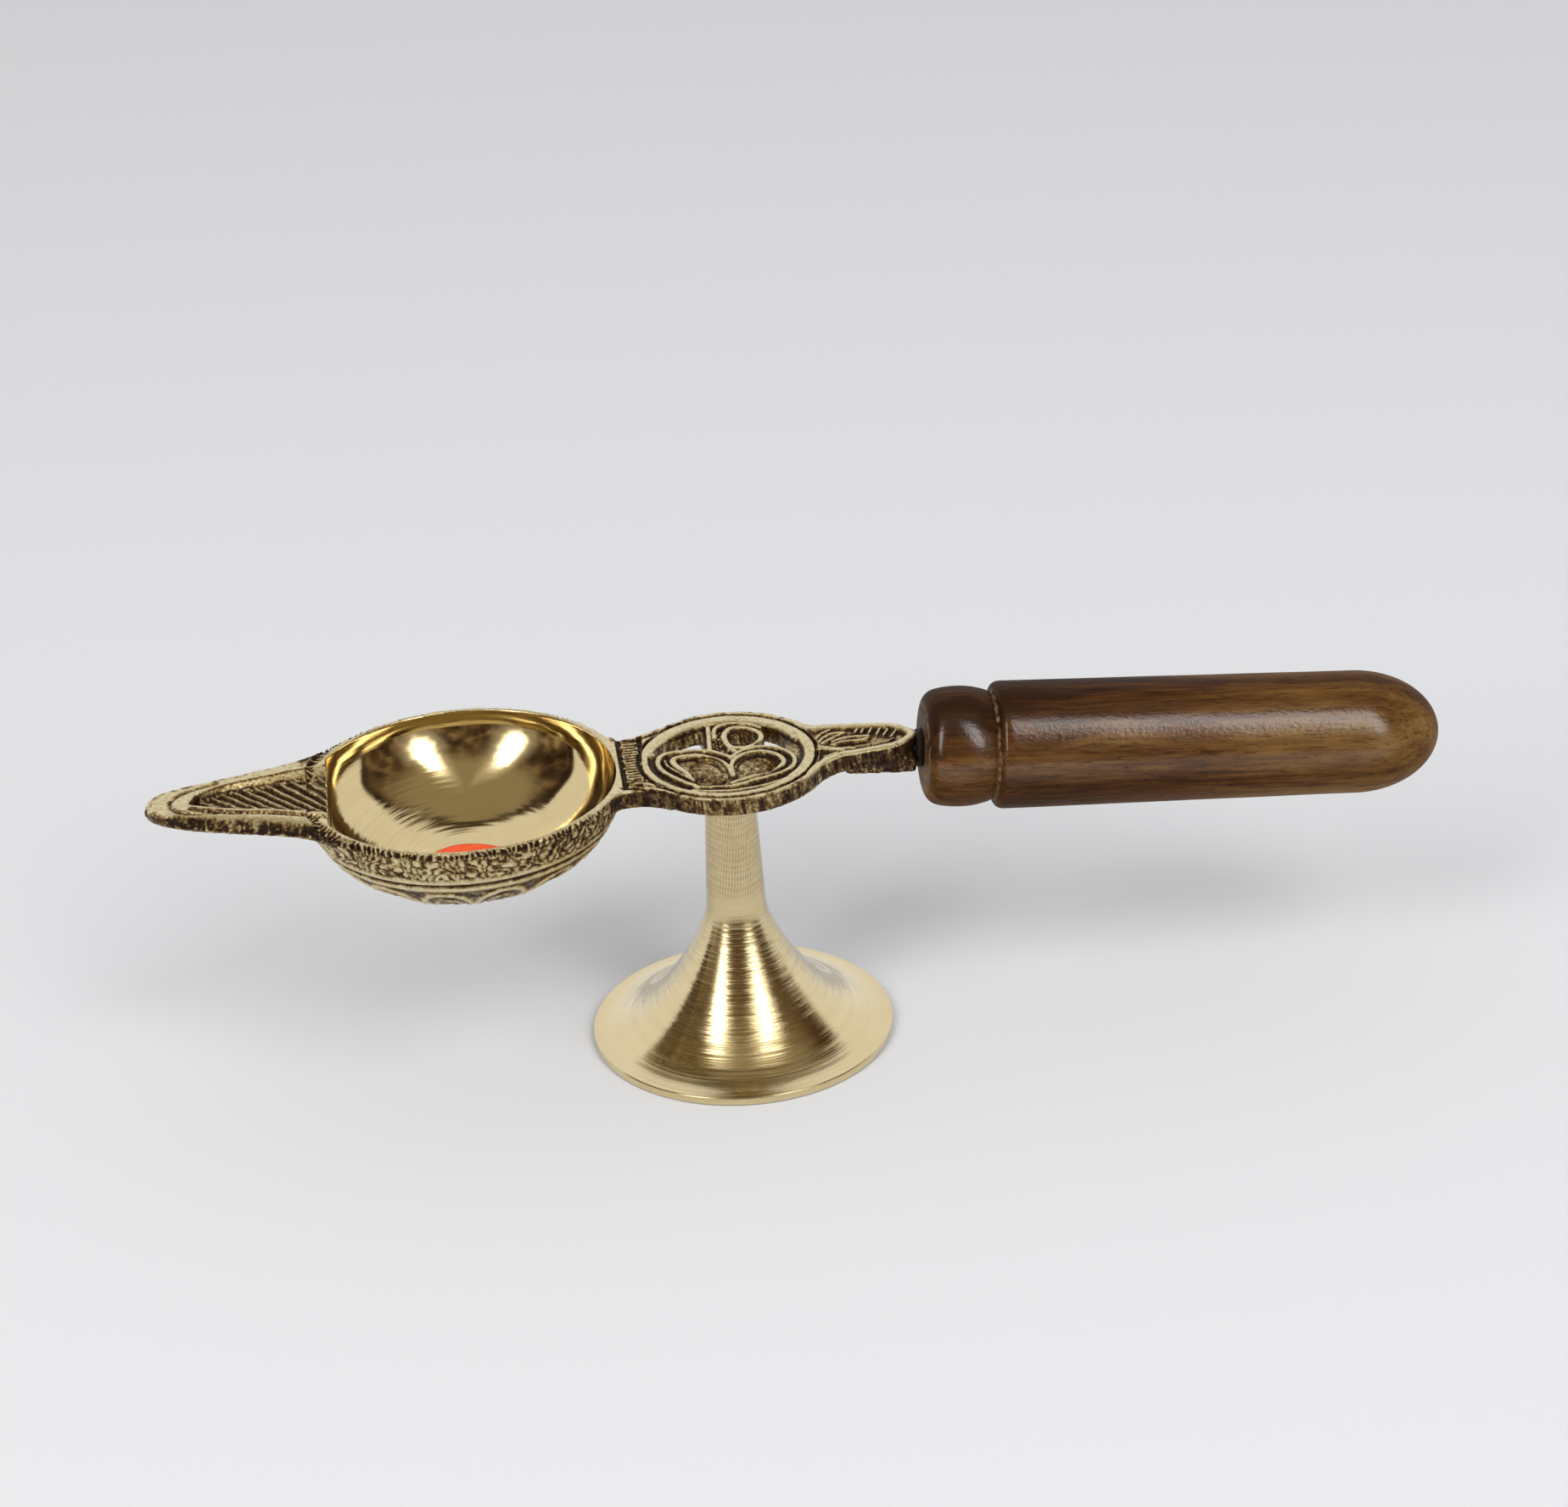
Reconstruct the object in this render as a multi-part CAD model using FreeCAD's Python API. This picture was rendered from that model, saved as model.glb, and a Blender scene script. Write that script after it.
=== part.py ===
import FreeCAD, Part

# Diya oil lamp: a cast brass head with an oil bowl and a wick spout, on a turned brass
# foot, with a turned wooden handle. Millimetres. The origin is the centre of the foot's
# resting circle, +Z is up and +X runs along the lamp towards the handle.

import math
import os

Vector = FreeCAD.Vector
UP = Vector(0, 0, 1)
ALONG = Vector(1, 0, 0)
ACROSS = Vector(0, 1, 0)
ORIGIN = Vector(0, 0, 0)
FULL_TURN = 360
CUT_CLEAR = 1.0             # how far a cutter runs past the face that it pierces

# Head: heights, and the plate that carries everything
TOP_Z = 61.7                # level top face of the head
PLATE_THICKNESS = 3.8
PLATE_Z = TOP_Z - PLATE_THICKNESS
CUT_TOP_Z = TOP_Z + CUT_CLEAR
CUT_LOW_Z = PLATE_Z - CUT_CLEAR

# Oil bowl: half of a flattened ellipsoid
BOWL_X = -51.3
BOWL_RIM_R = 31.0
BOWL_DEPTH = 20.6
BOWL_WALL = 2.0
BOWL_SPOUT_CUT_X = -77.4    # straight end of the cavity, at the spout

# Wick spout: stations along X, as (x, half width, depth at the keel)
SPOUT_STATIONS = (
    (-113.0, 5.0, 2.6),
    (-107.0, 6.7, 3.2),
    (-100.5, 8.5, 4.0),
    (-94.0, 10.4, 4.9),
    (-88.0, 12.5, 5.9),
    (-82.0, 14.6, 7.0),
    (-77.0, 17.2, 8.3),
    (-70.0, 21.5, 10.2),
)
SPOUT_EDGE = 2.4            # thickness of the spout at its edges
SPOUT_TIP_X = -112.0
SPOUT_TIP_R = 5.6
SPOUT_RECESS_DEPTH = 1.7
SPOUT_RECESS_TIP_X = -103.6
SPOUT_RECESS_TIP_W = 2.6
SPOUT_RECESS_MID_X = -90.0
SPOUT_RECESS_MID_W = 7.2
SPOUT_RECESS_END_W = 9.6

# Round pierced medallion over the foot
MEDALLION_X = 0.3
MEDALLION_R = 18.7
RING_GROOVE_R = 16.8
RING_GROOVE_WIDTH = 0.9
RING_GROOVE_DEPTH = 0.7
NECK_X = -19.0
NECK_HALF_LENGTH = 8.0
NECK_HALF_WIDTH = 15.0
NECK_WAIST = 12.0

# Openings through the medallion: ovals as (x, y, half length along X, half width) ...
OVAL_HOLES = (
    (-4.2, -5.5, 3.7, 6.2),
    (4.4, -5.0, 4.4, 4.6),
    (3.9, 7.0, 2.8, 3.5),
)
# ... and two curved slots, each as points round its closed outline
CURVED_SLOTS = (
    ((-14.0, 3.8), (-11.4, 7.4), (-7.6, 10.4), (-4.4, 11.8), (-4.0, 7.0), (-4.2, 3.6), (-8.2, 3.8)),
    ((7.6, 10.6), (9.6, 9.6), (11.4, 7.0), (12.6, 2.2), (9.4, 2.6), (6.4, 3.4), (7.4, 7.2)),
)

# Leaf-shaped shank between the medallion and the handle, as (x, half width)
LEAF_OUTLINE = ((14.0, 11.6), (18.0, 8.4), (22.0, 7.1), (27.0, 6.4), (32.0, 5.5), (35.5, 3.4), (37.3, 1.2))
SHANK_START_X = 22.3
SHANK_END_X = 36.2
SHANK_HALF_WIDTH = 5.2
SHANK_START_DEPTH = 5.0
SHANK_END_DEPTH = 6.0
SHANK_EDGE_R = 1.0

# Boss under the medallion, which the foot screws up to
BOSS_Z = 54.0
BOSS_R = 5.2
BOSS_ROOT_R = 9.4
BOSS_ROOT_Z = 58.6
BOSS_TOP_Z = 60.2
BOSS_CROWN_R = 4.0          # how far the crown stays nearly flat

# Screw joint: M5 stud, 0.8 mm pitch, and its lock washer
STUD_R = 2.45
STUD_BORE_R = 2.5
STUD_TOP_Z = 59.2
STUD_BOTTOM_Z = 44.4
STUD_BORE_BOTTOM_Z = 43.6
WASHER_INNER_R = 2.55
WASHER_OUTER_R = 4.6
WASHER_THICKNESS = 1.2
WASHER_SLOT = 0.9
WASHER_SLOT_LEAN = 20       # degrees from upright

# Foot: a trumpet. The flare is one Bezier curve from the stem to the rim
STEM_TOP_Z = BOSS_Z - WASHER_THICKNESS
STEM_TOP_R = 4.95
STEM_ROOT_Z = 27.0
STEM_ROOT_R = 6.0
FOOT_R = 30.0
FLARE_PULL_STEM = 2.6       # how far the curve follows the stem
FLARE_PULL_RIM = 12.6       # how far it follows the flat rim
RIM_THICKNESS = 1.6
RIM_EDGE_R = 0.5
REST_INNER_R = 27.4
HOLLOW_TOP_Z = 13.6
HOLLOW_PULL_TOP = 10.0
HOLLOW_PULL_RIM = 11.4
HOLLOW_LIP_Z = 0.35

# Handle: turned about its own axis, which drops away from the bowl
HANDLE_X = 38.0             # centre of the front face
HANDLE_Z = 58.6
HANDLE_DROP = 3.9           # degrees
HANDLE_LENGTH = 103.2
BEAD_FACE_R = 9.0
BEAD_R = 11.8
BEAD_START = 3.8
BEAD_FACE_BULGE = 0.4       # how far the rounded edge has come at the bead's full radius
BEAD_END = 9.8
GROOVE_AT = 13.6
GROOVE_R = 10.4
GROOVE_BEAD_SIDE = 12.8     # where the bead's far edge turns down into the groove
GROOVE_BODY_SIDE = 13.8     # where the groove turns up to the body
BODY_START = 15.2
BODY_R = 12.5
BODY_END_R = 12.1
END_ROUNDING = 17.0

# Rod that holds the handle, and the resin that beds it
ROD_R = 2.0
ROD_START = -8.0            # distances along the handle's axis from its front face
ROD_HOLE_START = -8.5
ROD_END = 45.0
ROD_THREAD_CLEARANCE = 0.01
HANDLE_BORE_R = 3.1
HANDLE_BORE_DEPTH = 47.0
COLLAR_R = 3.7
COLLAR_LENGTH = 1.5

# Paper label in the bottom of the bowl
LABEL_Y = -3.5               # stuck a little off centre
LABEL_R = 9.7
LABEL_THICKNESS = 0.15
LABEL_GAP = 0.01


def revolved(edges, axis_point, axis=UP):
    """Solid of revolution of a closed profile, drawn either way round."""
    solid = Part.Face(Part.Wire(edges)).revolve(axis_point, axis, FULL_TURN)
    if solid.Volume < 0:
        solid.reverse()
    return solid


def bezier(points):
    """One Bezier edge on its control points."""
    curve = Part.BezierCurve()
    curve.setPoles(points)
    return curve.toShape()


def quarter_ellipse(centre, major_end, minor_end):
    """Quarter of an ellipse from the end of its long half axis to the end of its short one."""
    arc = Part.Arc(Part.Ellipse(major_end, minor_end, centre), 0, math.pi / 2)
    return arc.toBSpline().toShape()


def at_height(outline, z):
    """Plan points as vectors at one height."""
    return [Vector(x, y, z) for x, y in outline]


def ellipsoid_below(centre_x, top_z, radius, depth):
    """Lower half of a flattened ellipsoid, closed by its flat top."""
    centre = Vector(centre_x, 0, top_z)
    rim = Vector(centre_x + radius, 0, top_z)
    bottom = Vector(centre_x, 0, top_z - depth)
    arc = quarter_ellipse(centre, rim, bottom)
    return revolved([arc, Part.makeLine(bottom, centre), Part.makeLine(centre, rim)], centre)


def mirrored_plan(half_outline, z):
    """Closed plan wire through the points and their mirror images about the X axis."""
    far_side = at_height(half_outline, z)
    near_side = at_height([(x, -y) for x, y in reversed(half_outline)], z)
    curves = []
    for side in (far_side, near_side):
        curve = Part.BSplineCurve()
        curve.interpolate(side)
        curves.append(curve.toShape())
    ends = [
        Part.makeLine(far_side[-1], near_side[0]),
        Part.makeLine(near_side[-1], far_side[0]),
    ]
    return Part.Wire([curves[0], ends[0], curves[1], ends[1]])


def closed_curve(outline, z):
    """Smooth closed wire through the points."""
    curve = Part.BSplineCurve()
    curve.interpolate(at_height(outline, z), PeriodicFlag=True)
    return Part.Wire(curve.toShape())


def pillar(wire, bottom_z, top_z):
    """The wire's outline, swept straight up between two heights."""
    wire.translate(Vector(0, 0, bottom_z - wire.BoundBox.ZMin))
    return Part.Face(wire).extrude(Vector(0, 0, top_z - bottom_z))


def oval_hole(centre_x, centre_y, half_x, half_y):
    """Upright oval cutter through the plate."""
    centre = Vector(centre_x, centre_y, CUT_LOW_Z)
    ends = Vector(half_x, 0, 0), Vector(0, half_y, 0)
    major, minor = ends if half_x >= half_y else reversed(ends)
    oval = Part.Ellipse(centre + major, centre + minor, centre).toShape()
    return pillar(Part.Wire(oval), CUT_LOW_Z, CUT_TOP_Z)


def spout_section(x, half_width, depth):
    """Cross-section of the spout: flat top, upright edges and a round keel."""
    port = Vector(x, half_width, TOP_Z)
    starboard = Vector(x, -half_width, TOP_Z)
    port_low = port - UP * SPOUT_EDGE
    starboard_low = starboard - UP * SPOUT_EDGE
    keel = Vector(x, 0, TOP_Z - depth)
    return Part.Wire([
        Part.makeLine(starboard, port),
        Part.makeLine(port, port_low),
        Part.Arc(port_low, keel, starboard_low).toShape(),
        Part.makeLine(starboard_low, starboard),
    ])


def spout():
    """Boat-shaped spout with a blunt rounded tip."""
    hull = Part.makeLoft([spout_section(*station) for station in SPOUT_STATIONS], True)
    tip_centre = Vector(SPOUT_TIP_X + SPOUT_TIP_R, 0, 0)
    bow = Part.makeCylinder(SPOUT_TIP_R, CUT_TOP_Z, tip_centre, UP)
    length = SPOUT_STATIONS[-1][0] - tip_centre.x + CUT_CLEAR
    stern_corner = Vector(tip_centre.x, -BOWL_RIM_R, 0)
    stern = Part.makeBox(length, 2 * BOWL_RIM_R, CUT_TOP_Z, stern_corner)
    return hull.common(bow.fuse(stern))


def spout_recess():
    """Shallow pointed channel in the top of the spout, where the wick lies."""
    half = (
        (SPOUT_RECESS_TIP_X, SPOUT_RECESS_TIP_W),
        (SPOUT_RECESS_MID_X, SPOUT_RECESS_MID_W),
        (BOWL_SPOUT_CUT_X + CUT_CLEAR, SPOUT_RECESS_END_W),
    )
    floor_z = TOP_Z - SPOUT_RECESS_DEPTH
    return pillar(mirrored_plan(half, floor_z), floor_z, CUT_TOP_Z)


def bowl_cavity():
    """Room for the oil: the inner ellipsoid, cut straight where the spout begins."""
    inner_r = BOWL_RIM_R - BOWL_WALL
    cavity = ellipsoid_below(BOWL_X, TOP_Z, inner_r, BOWL_DEPTH - BOWL_WALL)
    lid = Part.makeCylinder(inner_r, CUT_CLEAR, Vector(BOWL_X, 0, TOP_Z), UP)
    spout_side_x = BOWL_X - BOWL_RIM_R
    spout_side = Part.makeBox(
        BOWL_SPOUT_CUT_X - spout_side_x,
        2 * BOWL_RIM_R,
        CUT_TOP_Z,
        Vector(spout_side_x, -BOWL_RIM_R, 0),
    )
    return cavity.fuse(lid).cut(spout_side)


def neck():
    """Waisted web between the bowl and the medallion."""
    corners = [
        Vector(NECK_X + side * NECK_HALF_LENGTH, across * NECK_HALF_WIDTH, PLATE_Z)
        for side, across in ((-1, 1), (1, 1), (1, -1), (-1, -1))
    ]
    far_waist = Vector(NECK_X, NECK_WAIST, PLATE_Z)
    near_waist = Vector(NECK_X, -NECK_WAIST, PLATE_Z)
    outline = Part.Wire([
        Part.Arc(corners[0], far_waist, corners[1]).toShape(),
        Part.makeLine(corners[1], corners[2]),
        Part.Arc(corners[2], near_waist, corners[3]).toShape(),
        Part.makeLine(corners[3], corners[0]),
    ])
    return pillar(outline, PLATE_Z, TOP_Z)


def medallion_openings():
    """Everything that pierces or grooves the medallion."""
    holes = [oval_hole(*hole) for hole in OVAL_HOLES]
    holes += [pillar(closed_curve(slot, CUT_LOW_Z), CUT_LOW_Z, CUT_TOP_Z) for slot in CURVED_SLOTS]
    groove_base = Vector(MEDALLION_X, 0, TOP_Z - RING_GROOVE_DEPTH)
    half_width = RING_GROOVE_WIDTH / 2
    height = RING_GROOVE_DEPTH + CUT_CLEAR
    outer = Part.makeCylinder(RING_GROOVE_R + half_width, height, groove_base, UP)
    inner = Part.makeCylinder(RING_GROOVE_R - half_width, height, groove_base, UP)
    return holes + [outer.cut(inner)]


def shank():
    """Leaf-shaped plate with the bar under it that takes the handle's rod, deeper towards the handle."""
    leaf = pillar(mirrored_plan(LEAF_OUTLINE, PLATE_Z), PLATE_Z, TOP_Z)
    lid_z = PLATE_Z + SHANK_EDGE_R
    corners = [
        Vector(SHANK_START_X, -SHANK_HALF_WIDTH, lid_z),
        Vector(SHANK_START_X, -SHANK_HALF_WIDTH, TOP_Z - SHANK_START_DEPTH),
        Vector(SHANK_END_X, -SHANK_HALF_WIDTH, TOP_Z - SHANK_END_DEPTH),
        Vector(SHANK_END_X, -SHANK_HALF_WIDTH, lid_z),
    ]
    side = Part.Face(Part.makePolygon(corners + corners[:1]))
    bar = side.extrude(Vector(0, 2 * SHANK_HALF_WIDTH, 0))
    low_edges = [edge for edge in bar.Edges if edge.BoundBox.ZMax < PLATE_Z]
    return leaf.fuse(bar.makeFillet(SHANK_EDGE_R, low_edges))


def boss():
    """Domed boss that stands under the medallion and shows through its openings."""
    shoulder = Vector(BOSS_ROOT_R, 0, BOSS_ROOT_Z)
    crown = Vector(0, 0, BOSS_TOP_Z)
    profile = [
        Part.makeLine(Vector(0, 0, BOSS_Z), Vector(BOSS_R, 0, BOSS_Z)),
        Part.makeLine(Vector(BOSS_R, 0, BOSS_Z), shoulder),
        bezier([shoulder, Vector(BOSS_CROWN_R, 0, BOSS_TOP_Z), crown]),
        Part.makeLine(crown, Vector(0, 0, BOSS_Z)),
    ]
    return revolved(profile, ORIGIN)


def lamp_casting():
    """The whole cast head: bowl, spout, neck, medallion, shank and boss in one piece."""
    body = ellipsoid_below(BOWL_X, TOP_Z, BOWL_RIM_R, BOWL_DEPTH)
    medallion = Part.makeCylinder(
        MEDALLION_R, PLATE_THICKNESS, Vector(MEDALLION_X, 0, PLATE_Z), UP
    )
    for piece in (spout(), neck(), medallion, shank()):
        body = body.fuse(piece)
    for cutter in [bowl_cavity(), spout_recess()] + medallion_openings():
        body = body.cut(cutter)
    body = body.fuse(boss())
    stud_hole = Part.makeCylinder(STUD_R, STUD_TOP_Z - BOSS_Z, Vector(0, 0, BOSS_Z), UP)
    rod_hole = handle_cylinder(ROD_R + ROD_THREAD_CLEARANCE, ROD_HOLE_START, 0)
    return body.cut(stud_hole).cut(rod_hole)


def foot():
    """Turned trumpet foot: solid stem, wide thin flange, hollow underneath."""
    stem_top = Vector(STEM_TOP_R, 0, STEM_TOP_Z)
    stem_root = Vector(STEM_ROOT_R, 0, STEM_ROOT_Z)
    rim_top = Vector(FOOT_R - RIM_EDGE_R, 0, RIM_THICKNESS)
    rim_side = Vector(FOOT_R, 0, RIM_THICKNESS - RIM_EDGE_R)
    rim_low = Vector(FOOT_R, 0, RIM_EDGE_R)
    rest_outer = Vector(FOOT_R - RIM_EDGE_R, 0, 0)
    rest_inner = Vector(REST_INNER_R, 0, 0)
    lip = Vector(REST_INNER_R, 0, HOLLOW_LIP_Z)
    hollow_top = Vector(0, 0, HOLLOW_TOP_Z)
    bore_floor = Vector(0, 0, STUD_BORE_BOTTOM_Z)
    bore_low = Vector(STUD_BORE_R, 0, STUD_BORE_BOTTOM_Z)
    bore_top = Vector(STUD_BORE_R, 0, STEM_TOP_Z)
    profile = [
        Part.makeLine(stem_top, stem_root),
        bezier([
            stem_root,
            stem_root - UP * FLARE_PULL_STEM,
            rim_top - ALONG * FLARE_PULL_RIM,
            rim_top,
        ]),
        bezier([rim_top, Vector(FOOT_R, 0, RIM_THICKNESS), rim_side]),
        Part.makeLine(rim_side, rim_low),
        bezier([rim_low, Vector(FOOT_R, 0, 0), rest_outer]),
        Part.makeLine(rest_outer, rest_inner),
        Part.makeLine(rest_inner, lip),
        bezier([
            lip,
            lip - ALONG * HOLLOW_PULL_RIM,
            hollow_top + ALONG * HOLLOW_PULL_TOP,
            hollow_top,
        ]),
        Part.makeLine(hollow_top, bore_floor),
        Part.makeLine(bore_floor, bore_low),
        Part.makeLine(bore_low, bore_top),
        Part.makeLine(bore_top, stem_top),
    ]
    return revolved(profile, ORIGIN)


def foot_stud():
    """Stud between the head and the foot, plain at the thread's outer diameter."""
    return Part.makeCylinder(STUD_R, STUD_TOP_Z - STUD_BOTTOM_Z, Vector(0, 0, STUD_BOTTOM_Z), UP)


def foot_lock_washer():
    """Split spring washer between the stem and the boss, pressed flat."""
    base = Vector(0, 0, STEM_TOP_Z)
    ring = Part.makeCylinder(WASHER_OUTER_R, WASHER_THICKNESS, base, UP)
    ring = ring.cut(Part.makeCylinder(WASHER_INNER_R, WASHER_THICKNESS, base, UP))
    middle_z = STEM_TOP_Z + WASHER_THICKNESS / 2
    slot_height = WASHER_THICKNESS + 2 * CUT_CLEAR
    slot_corner = Vector(0, -WASHER_SLOT / 2, middle_z - slot_height / 2)
    slot = Part.makeBox(WASHER_OUTER_R + CUT_CLEAR, WASHER_SLOT, slot_height, slot_corner)
    slot.rotate(Vector(0, 0, middle_z), ALONG, WASHER_SLOT_LEAN)
    return ring.cut(slot)


def on_handle_axis(shape):
    """Puts a shape made along +X from the origin on the handle's dropping axis."""
    shape.rotate(ORIGIN, ACROSS, HANDLE_DROP)
    shape.translate(Vector(HANDLE_X, 0, HANDLE_Z))
    return shape


def handle_cylinder(radius, start, end):
    """Cylinder on the handle's axis between two distances from its front face."""
    return on_handle_axis(Part.makeCylinder(radius, end - start, ALONG * start, ALONG))


def handle():
    """Turned handle: bead, V groove, long body and a rounded end, with its blind bore."""
    body_end = HANDLE_LENGTH - END_ROUNDING
    end_centre = Vector(body_end, 0, 0)
    end_rim = Vector(body_end, 0, BODY_END_R)
    end_tip = Vector(HANDLE_LENGTH, 0, 0)
    rounding = quarter_ellipse(end_centre, end_tip, end_rim)
    face_edge = Vector(0, 0, BEAD_FACE_R)
    bead_start = Vector(BEAD_START, 0, BEAD_R)
    bead_end = Vector(BEAD_END, 0, BEAD_R)
    groove = Vector(GROOVE_AT, 0, GROOVE_R)
    body_start = Vector(BODY_START, 0, BODY_R)
    profile = [
        Part.makeLine(ORIGIN, face_edge),
        bezier([face_edge, Vector(BEAD_FACE_BULGE, 0, BEAD_R), bead_start]),
        Part.makeLine(bead_start, bead_end),
        bezier([bead_end, Vector(GROOVE_BEAD_SIDE, 0, BEAD_R), groove]),
        bezier([groove, Vector(GROOVE_BODY_SIDE, 0, BODY_R), body_start]),
        Part.makeLine(body_start, end_rim),
        rounding,
        Part.makeLine(end_tip, ORIGIN),
    ]
    turned = on_handle_axis(revolved(profile, ORIGIN, ALONG))
    return turned.cut(handle_cylinder(HANDLE_BORE_R, -CUT_CLEAR, HANDLE_BORE_DEPTH))


def handle_rod():
    """Threaded rod from the shank into the handle, plain at its outer diameter."""
    return handle_cylinder(ROD_R, ROD_START, ROD_END)


def handle_resin():
    """Resin around the rod in the bore, with the collar that fills up to the shank."""
    plug = handle_cylinder(HANDLE_BORE_R, 0, HANDLE_BORE_DEPTH)
    collar = handle_cylinder(COLLAR_R, -COLLAR_LENGTH, 0)
    return plug.fuse(collar).cut(handle_rod()).cut(shank())


def price_label():
    """Blank round paper label that follows the bottom of the bowl."""
    inner_r = BOWL_RIM_R - BOWL_WALL - LABEL_GAP
    inner_depth = BOWL_DEPTH - BOWL_WALL - LABEL_GAP
    upper_r = inner_r - LABEL_THICKNESS
    upper_depth = inner_depth - LABEL_THICKNESS
    underside = ellipsoid_below(BOWL_X, TOP_Z, inner_r, inner_depth)
    paper = underside.cut(ellipsoid_below(BOWL_X, TOP_Z, upper_r, upper_depth))
    base = Vector(BOWL_X, LABEL_Y, TOP_Z - BOWL_DEPTH)
    disc = Part.makeCylinder(LABEL_R, BOWL_DEPTH / 2, base, UP)
    return paper.common(disc)


NODES = {
    "lamp_casting": lamp_casting,
    "foot": foot,
    "foot_stud": foot_stud,
    "foot_lock_washer": foot_lock_washer,
    "handle": handle,
    "handle_rod": handle_rod,
    "handle_resin": handle_resin,
    "price_label": price_label,
}

os.makedirs("parts", exist_ok=True)
for name, make in NODES.items():
    make().removeSplitter().exportStep(f"parts/{name}.step")
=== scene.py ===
import math

import bpy
import numpy as np
from mathutils import Matrix, Vector


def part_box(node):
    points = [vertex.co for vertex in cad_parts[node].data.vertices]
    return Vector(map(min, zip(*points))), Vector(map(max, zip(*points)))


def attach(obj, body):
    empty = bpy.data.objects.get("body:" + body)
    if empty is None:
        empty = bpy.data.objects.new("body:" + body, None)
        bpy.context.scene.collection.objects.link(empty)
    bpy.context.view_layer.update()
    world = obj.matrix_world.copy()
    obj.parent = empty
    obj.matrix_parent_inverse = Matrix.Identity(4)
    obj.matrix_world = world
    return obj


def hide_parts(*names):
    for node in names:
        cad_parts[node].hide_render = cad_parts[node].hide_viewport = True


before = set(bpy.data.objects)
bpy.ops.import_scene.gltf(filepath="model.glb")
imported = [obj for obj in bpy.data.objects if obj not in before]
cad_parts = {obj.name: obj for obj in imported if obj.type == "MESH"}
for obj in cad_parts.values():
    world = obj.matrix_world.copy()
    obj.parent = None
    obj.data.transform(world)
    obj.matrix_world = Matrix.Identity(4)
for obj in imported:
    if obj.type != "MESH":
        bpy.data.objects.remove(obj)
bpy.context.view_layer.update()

# A diya oil lamp: a cast brass head with an oil bowl, a wick spout, a pierced medallion and a
# leaf-shaped shank, on a turned brass foot, with a turned wooden handle. Shapes are worked out
# in millimetres in the CAD frame, with +X towards the handle and +Z up.

MM = 0.001


def node_box(node):
    """Lowest and highest corner of a CAD node, in millimetres."""
    low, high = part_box(node)
    return np.array(low) / MM, np.array(high) / MM


CAST_LOW, CAST_HIGH = node_box("lamp_casting")
FOOT_HIGH = node_box("foot")[1]
STUD_LOW, STUD_HIGH = node_box("foot_stud")
WASHER_LOW, WASHER_HIGH = node_box("foot_lock_washer")
ROD_LOW, ROD_HIGH = node_box("handle_rod")
LABEL_LOW, LABEL_HIGH = node_box("price_label")

TOP = CAST_HIGH[2]                       # nominal top plane of the head
BOWL_R = CAST_HIGH[1]                    # outer radius of the bowl's rim
BOWL_DEPTH = TOP - CAST_LOW[2]
BOWL_X = (LABEL_LOW[0] + LABEL_HIGH[0]) / 2
CAVITY_R = BOWL_R - 1.5
CAVITY_DEPTH = BOWL_DEPTH - 2.0
SHELL_DEPTH = BOWL_DEPTH + 1.1           # the cast decoration stands out most under the bowl
BOWL_CUT_X = BOWL_X - 26.1               # straight end of the cavity, at the spout
BOSS_Z = WASHER_HIGH[2]


# ---------------------------------------------------------------- small numeric tools

def blend(low, high, value):
    """0 below low, 1 above high, and a smooth ramp between."""
    t = np.clip((value - low) / (high - low), 0.0, 1.0)
    return t * t * (3.0 - 2.0 * t)


def soft_min(a, b, k):
    """Smaller of a and b, with the corner rounded over k."""
    h = np.clip(0.5 + 0.5 * (b - a) / k, 0.0, 1.0)
    return b + (a - b) * h - k * h * (1.0 - h)


def soft_max(a, b, k):
    """Larger of a and b, with the corner rounded over k."""
    return -soft_min(-a, -b, k)


LATTICE = np.random.default_rng(11).random((32, 32, 32)).astype(np.float32) * 2 - 1


def noise(x, y, z):
    """Smooth noise between -1 and 1 with one cell per unit."""
    cells, parts = [], []
    for axis in (x, y, z):
        base = np.floor(axis)
        part = axis - base
        cells.append(base.astype(np.int64))
        parts.append(part * part * (3 - 2 * part))
    total = 0.0
    for corner in np.ndindex(2, 2, 2):
        weight = 1.0
        for step, part in zip(corner, parts):
            weight = weight * (part if step else 1 - part)
        i, j, k = ((cell + step) & 31 for cell, step in zip(cells, corner))
        total = total + LATTICE[i, j, k] * weight
    return total


def curve(points, closed=False, per_span=8):
    """Smooth path through the points, as an array of x, y."""
    p = np.array(points, float)
    if closed:
        p = np.vstack([p[-1], p, p[0], p[1]])
    else:
        p = np.vstack([2 * p[0] - p[1], p, 2 * p[-1] - p[-2]])
    out = []
    for a, b, c, d in zip(p, p[1:], p[2:], p[3:]):
        t = np.linspace(0, 1, per_span, endpoint=False)[:, None]
        out.append(0.5 * (2 * b + (c - a) * t + (2 * a - 5 * b + 4 * c - d) * t ** 2
                          + (3 * b - a - 3 * c + d) * t ** 3))
    out.append(p[-2][None])
    return np.vstack(out)


def circle(x, y, radius, start=0.0, end=360.0, count=72):
    """Arc of a circle, in degrees, as a path."""
    a = np.radians(np.linspace(start, end, count + 1))
    return np.c_[x + radius * np.cos(a), y + radius * np.sin(a)]


def oval(x, y, half_x, half_y, lean=0.0):
    """Closed oval, turned by an angle in degrees."""
    u, v = (circle(0, 0, 1, count=48) * (half_x, half_y)).T
    c, s = math.cos(math.radians(lean)), math.sin(math.radians(lean))
    return np.c_[x + u * c - v * s, y + u * s + v * c]


def line_at(x, points):
    """Value at x of a line through points of (x, value)."""
    return np.interp(x, *np.array(points).T)


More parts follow.
